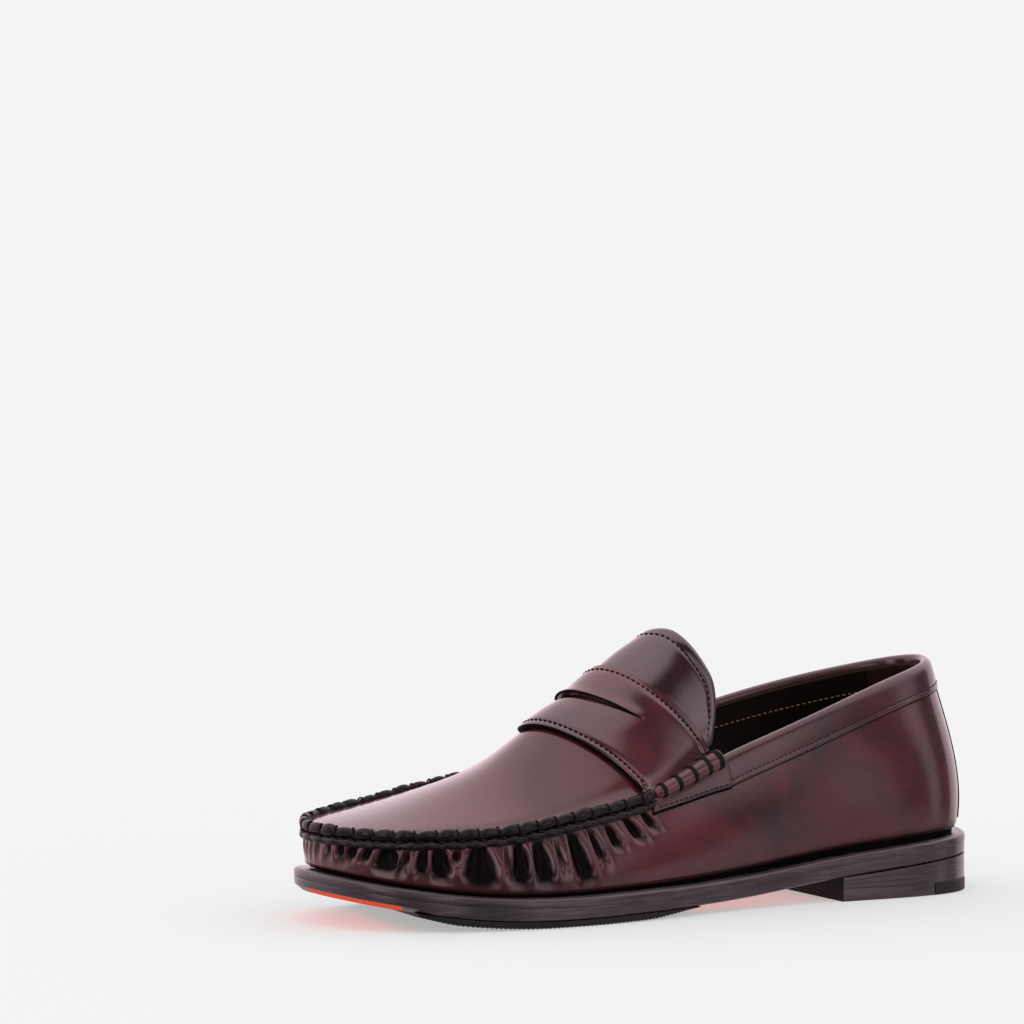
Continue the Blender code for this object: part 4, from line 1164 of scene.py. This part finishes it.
def build_heel():
    x_back = outline[:, 0].min()
    under = outsole_z(np.array([x_back, BREAST])) - 0.05
    lifts = 3
    step = (under - TOP_PIECE_T) / lifts
    k = np.linspace(0, 1, 60) ** 2.2
    lift_levels = ((0.14, 0.0), (0.02, 0.05), (0.0, 0.2), (0.0, 0.85), (0.03, 0.96), (0.14, 1.01))
    for j in range(lifts):
        z0 = TOP_PIECE_T + step * j
        side = 0.42 + 0.05 * (2 - j)
        xs = x_back + side + 0.03 + (BREAST - x_back - side) * k
        levels = [part_loop(xs + inset * (1 - k), side + inset,
                            lambda x: np.interp(x, (x_back, BREAST), z0 + step * share), x_back + side + inset)
                  for inset, share in lift_levels]
        lift = stack(f"heel_lift_leather_{j + 1}", levels, True, M["sole_edge"], M["breast"], front=len(xs))
        place(lift, "edge_leather", f"heel_lift_{j + 1}")
    k = np.linspace(0, 1, 50)
    xs = x_back + 0.25 + (TIP_FROM - x_back - 0.25) * k ** 2
    levels = [part_loop(xs + (inset - 0.15) * (1 - k), inset, lambda x: 0 * x + h, x_back + inset)
              for inset, h in ((0.9, 0.0), (0.45, 0.15), (0.22, 0.6), (0.15, 2.0), (0.15, TOP_PIECE_T - 0.9),
                               (0.25, TOP_PIECE_T - 0.35), (0.6, TOP_PIECE_T - 0.05))]
    place(stack("heel_tip_rubber", levels, True, M["rubber"]), "rubber", "heel_rubber_tip")
    xs = np.linspace(TIP_FROM + 0.15, BREAST, 40)
    levels = [part_loop(xs, inset, lambda x: 0 * x + h)
              for inset, h in ((1.0, 0.0), (0.75, 0.2), (0.62, 0.7), (0.62, TOP_PIECE_T - 0.6),
                               (0.85, TOP_PIECE_T - 0.05))]
    piece = stack("heel_top_leather", levels, False, M["sole_edge"], M["breast"], front=len(xs) - 1)
    place(piece, "edge_leather", "heel_top_piece")


# ---------------------------------------------------------------- stage, light and camera

# Painted shade: the cork and heel seat fillers get a near black, matt material that stands in for the shadowed gap
# between the upper and the welt.
CAD_MATERIALS = {
    "heel_nail": "steel", "shank": "steel", "cork_filler": "gap_shade_black", "heel_seat_filler": "gap_shade_black",
    "insole_board": "board", "heel_counter": "board", "toe_puff": "board", "plug_lining": "lining",
}


def dress_cad():
    """Materials for the CAD nodes that show as they are."""
    for name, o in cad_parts.items():
        for start, key in CAD_MATERIALS.items():
            if name.startswith(start):
                for material_slot in o.material_slots:
                    material_slot.material = M[key]


def build_stage():
    size = 14.0
    me = bpy.data.meshes.new("floor")
    me.from_pydata([(-size, -size, 0), (size, -size, 0), (size, size, 0), (-size, size, 0)], [], [(0, 1, 2, 3)])
    n = Nodes("pale_floor", Specular_IOR_Level=0.0, Roughness=0.9, Emission_Color=(1, 1, 1, 1),
              Emission_Strength=0.40)
    n.colour(n.ramp(n.noise(3, 3), (0.0, (0.555, 0.555, 0.555)), (1.0, (0.562, 0.562, 0.562))))
    me.materials.append(n.material)
    floor = bpy.data.objects.new("floor", me)
    floor.visible_glossy = False
    bpy.context.scene.collection.objects.link(floor)

    world = bpy.data.worlds.new("studio")
    world.use_nodes = True
    world.node_tree.nodes["Background"].inputs[0].default_value = (0.905, 0.905, 0.905, 1)
    world.node_tree.nodes["Background"].inputs[1].default_value = 1.0
    bpy.context.scene.world = world
    build_reflections()


# Brightness of the reflected studio. MIDDLE and LOW go by bearing in degrees, from the toe's
# direction round by the wearer's left: at middle heights, and near the floor. BAND goes by height,
# from -1 underneath to 1 overhead, and multiplies them. TOP goes across the shoe, from the
# wearer's right at -1 to the left at 1, and takes over between the heights in TOP_FROM.
MIDDLE = ((-176, 1.0), (-167, 1.1), (-20, 1.1), (0, 0.30), (14, 0.20), (26, 1.7), (38, 1.7), (48, 0.14),
          (65, 0.12), (71, 1.25), (78, 1.25), (84, 0.12), (98, 0.16), (107, 1.15), (123, 1.0), (134, 0.10), (147, 0.10),
          (152, 0.75), (157, 0.75), (163, 0.08), (179, 0.08))
LOW = ((-180, 0.4), (-170, 0.6), (-20, 0.6), (20, 0.10), (60, 0.03), (92, 0.03), (106, 0.15), (118, 0.34),
       (130, 0.52), (160, 0.60), (172, 0.3), (180, 0.3))
BAND = ((-1.0, 1.0), (-0.62, 0.9), (-0.3, 0.75), (-0.05, 0.90), (0.2, 1.0), (0.45, 1.05), (0.7, 0.92), (1.0, 0.92))
TOP = ((-1.0, 1.2), (-0.30, 1.35), (0.0, 1.22), (0.30, 1.2), (0.54, 1.0), (0.625, 0.06), (0.715, 0.03),
       (0.79, 0.7), (1.0, 0.9))
TOP_FROM = (0.36, 0.62)
TINT = (1.0, 0.80, 0.86)


def build_reflections():
    """The studio that the leather's polish mirrors: soft boxes and black flags round the shoe."""
    around, up, radius = 64, 31, 5.0
    a = np.linspace(0, 2 * np.pi, around, endpoint=False)[:, None]
    e = np.linspace(-0.5, 0.5, up + 2)[None, 1:-1] * np.pi
    grid = np.stack([np.cos(a) * np.cos(e), np.sin(a) * np.cos(e), np.sin(e) + 0 * a], -1) * radius
    poles = [list(range(0, around * up, up)), list(range(up - 1, around * up, up))]
    me = bpy.data.meshes.new("studio_reflections")
    me.from_pydata(grid.reshape(-1, 3).tolist(), [], grid_faces(around, up, True) + poles)
    o = bpy.data.objects.new("studio_reflections", me)
    bpy.context.scene.collection.objects.link(o)
    o.visible_camera = o.visible_diffuse = o.visible_shadow = o.visible_transmission = False

    n = Nodes("studio_reflections")
    n.tree.nodes.remove(n.shader)
    place_on = n.add("VectorMath", {0: n.coordinates}, operation="NORMALIZE").outputs[0]
    axes = n.add("SeparateXYZ", {0: place_on}).outputs
    bearing = n.ranged(n.math("ARCTAN2", axes[1], axes[0]), From_Min=-math.pi, From_Max=math.pi)
    across, rise = (n.ranged(axes[k], From_Min=-1.0, From_Max=1.0) for k in (1, 2))
    by_bearing = lambda stops: n.ramp(bearing, *[((degrees + 180) / 360, v) for degrees, v in stops])
    from_one = lambda value, stops: n.ramp(value, *[((place + 1) / 2, v) for place, v in stops])
    tone = n.mix(by_bearing(LOW), by_bearing(MIDDLE), from_one(rise, ((-0.24, 0.0), (-0.10, 1.0))))
    tone = n.mix(tone, from_one(across, TOP), from_one(rise, ((TOP_FROM[0], 0.0), (TOP_FROM[1], 1.0))))
    tone = n.mix(tone, TINT, 1.0, "MULTIPLY")
    tone = n.mix(tone, from_one(rise, BAND), 1.0, "MULTIPLY")
    glow = n.add("Emission", {"Color": tone, "Strength": 1.0}).outputs[0]
    n.put(n.tree.nodes["Material Output"].inputs["Surface"], glow)
    n.material.cycles.emission_sampling = "NONE"
    me.materials.append(n.material)
    return o


def build_camera():
    """A long lens over a metre from the shoe, low down, off its outer side and towards the toe."""
    camera = bpy.data.cameras.new("camera")
    camera.lens = 95.5125
    camera.sensor_width = 36
    camera.clip_start, camera.clip_end = 0.05, 60
    o = bpy.data.objects.new("camera", camera)
    o.location = to_row(np.array([662.0, 968.6, 143.35]))
    forward = Vector((-0.42324, -0.90593, 0.01217))
    o.rotation_euler = forward.to_track_quat("-Z", "Y").to_euler()
    bpy.context.scene.collection.objects.link(o)
    bpy.context.scene.camera = o
    bpy.context.scene.view_settings.view_transform = "Standard"


build_vamp()
build_seam()
build_plug()
build_strap()
build_rolls()
build_tongue()
build_collar()
build_back_strip()
build_inside()
build_sole()
build_heel()
dress_cad()
build_stage()
build_camera()
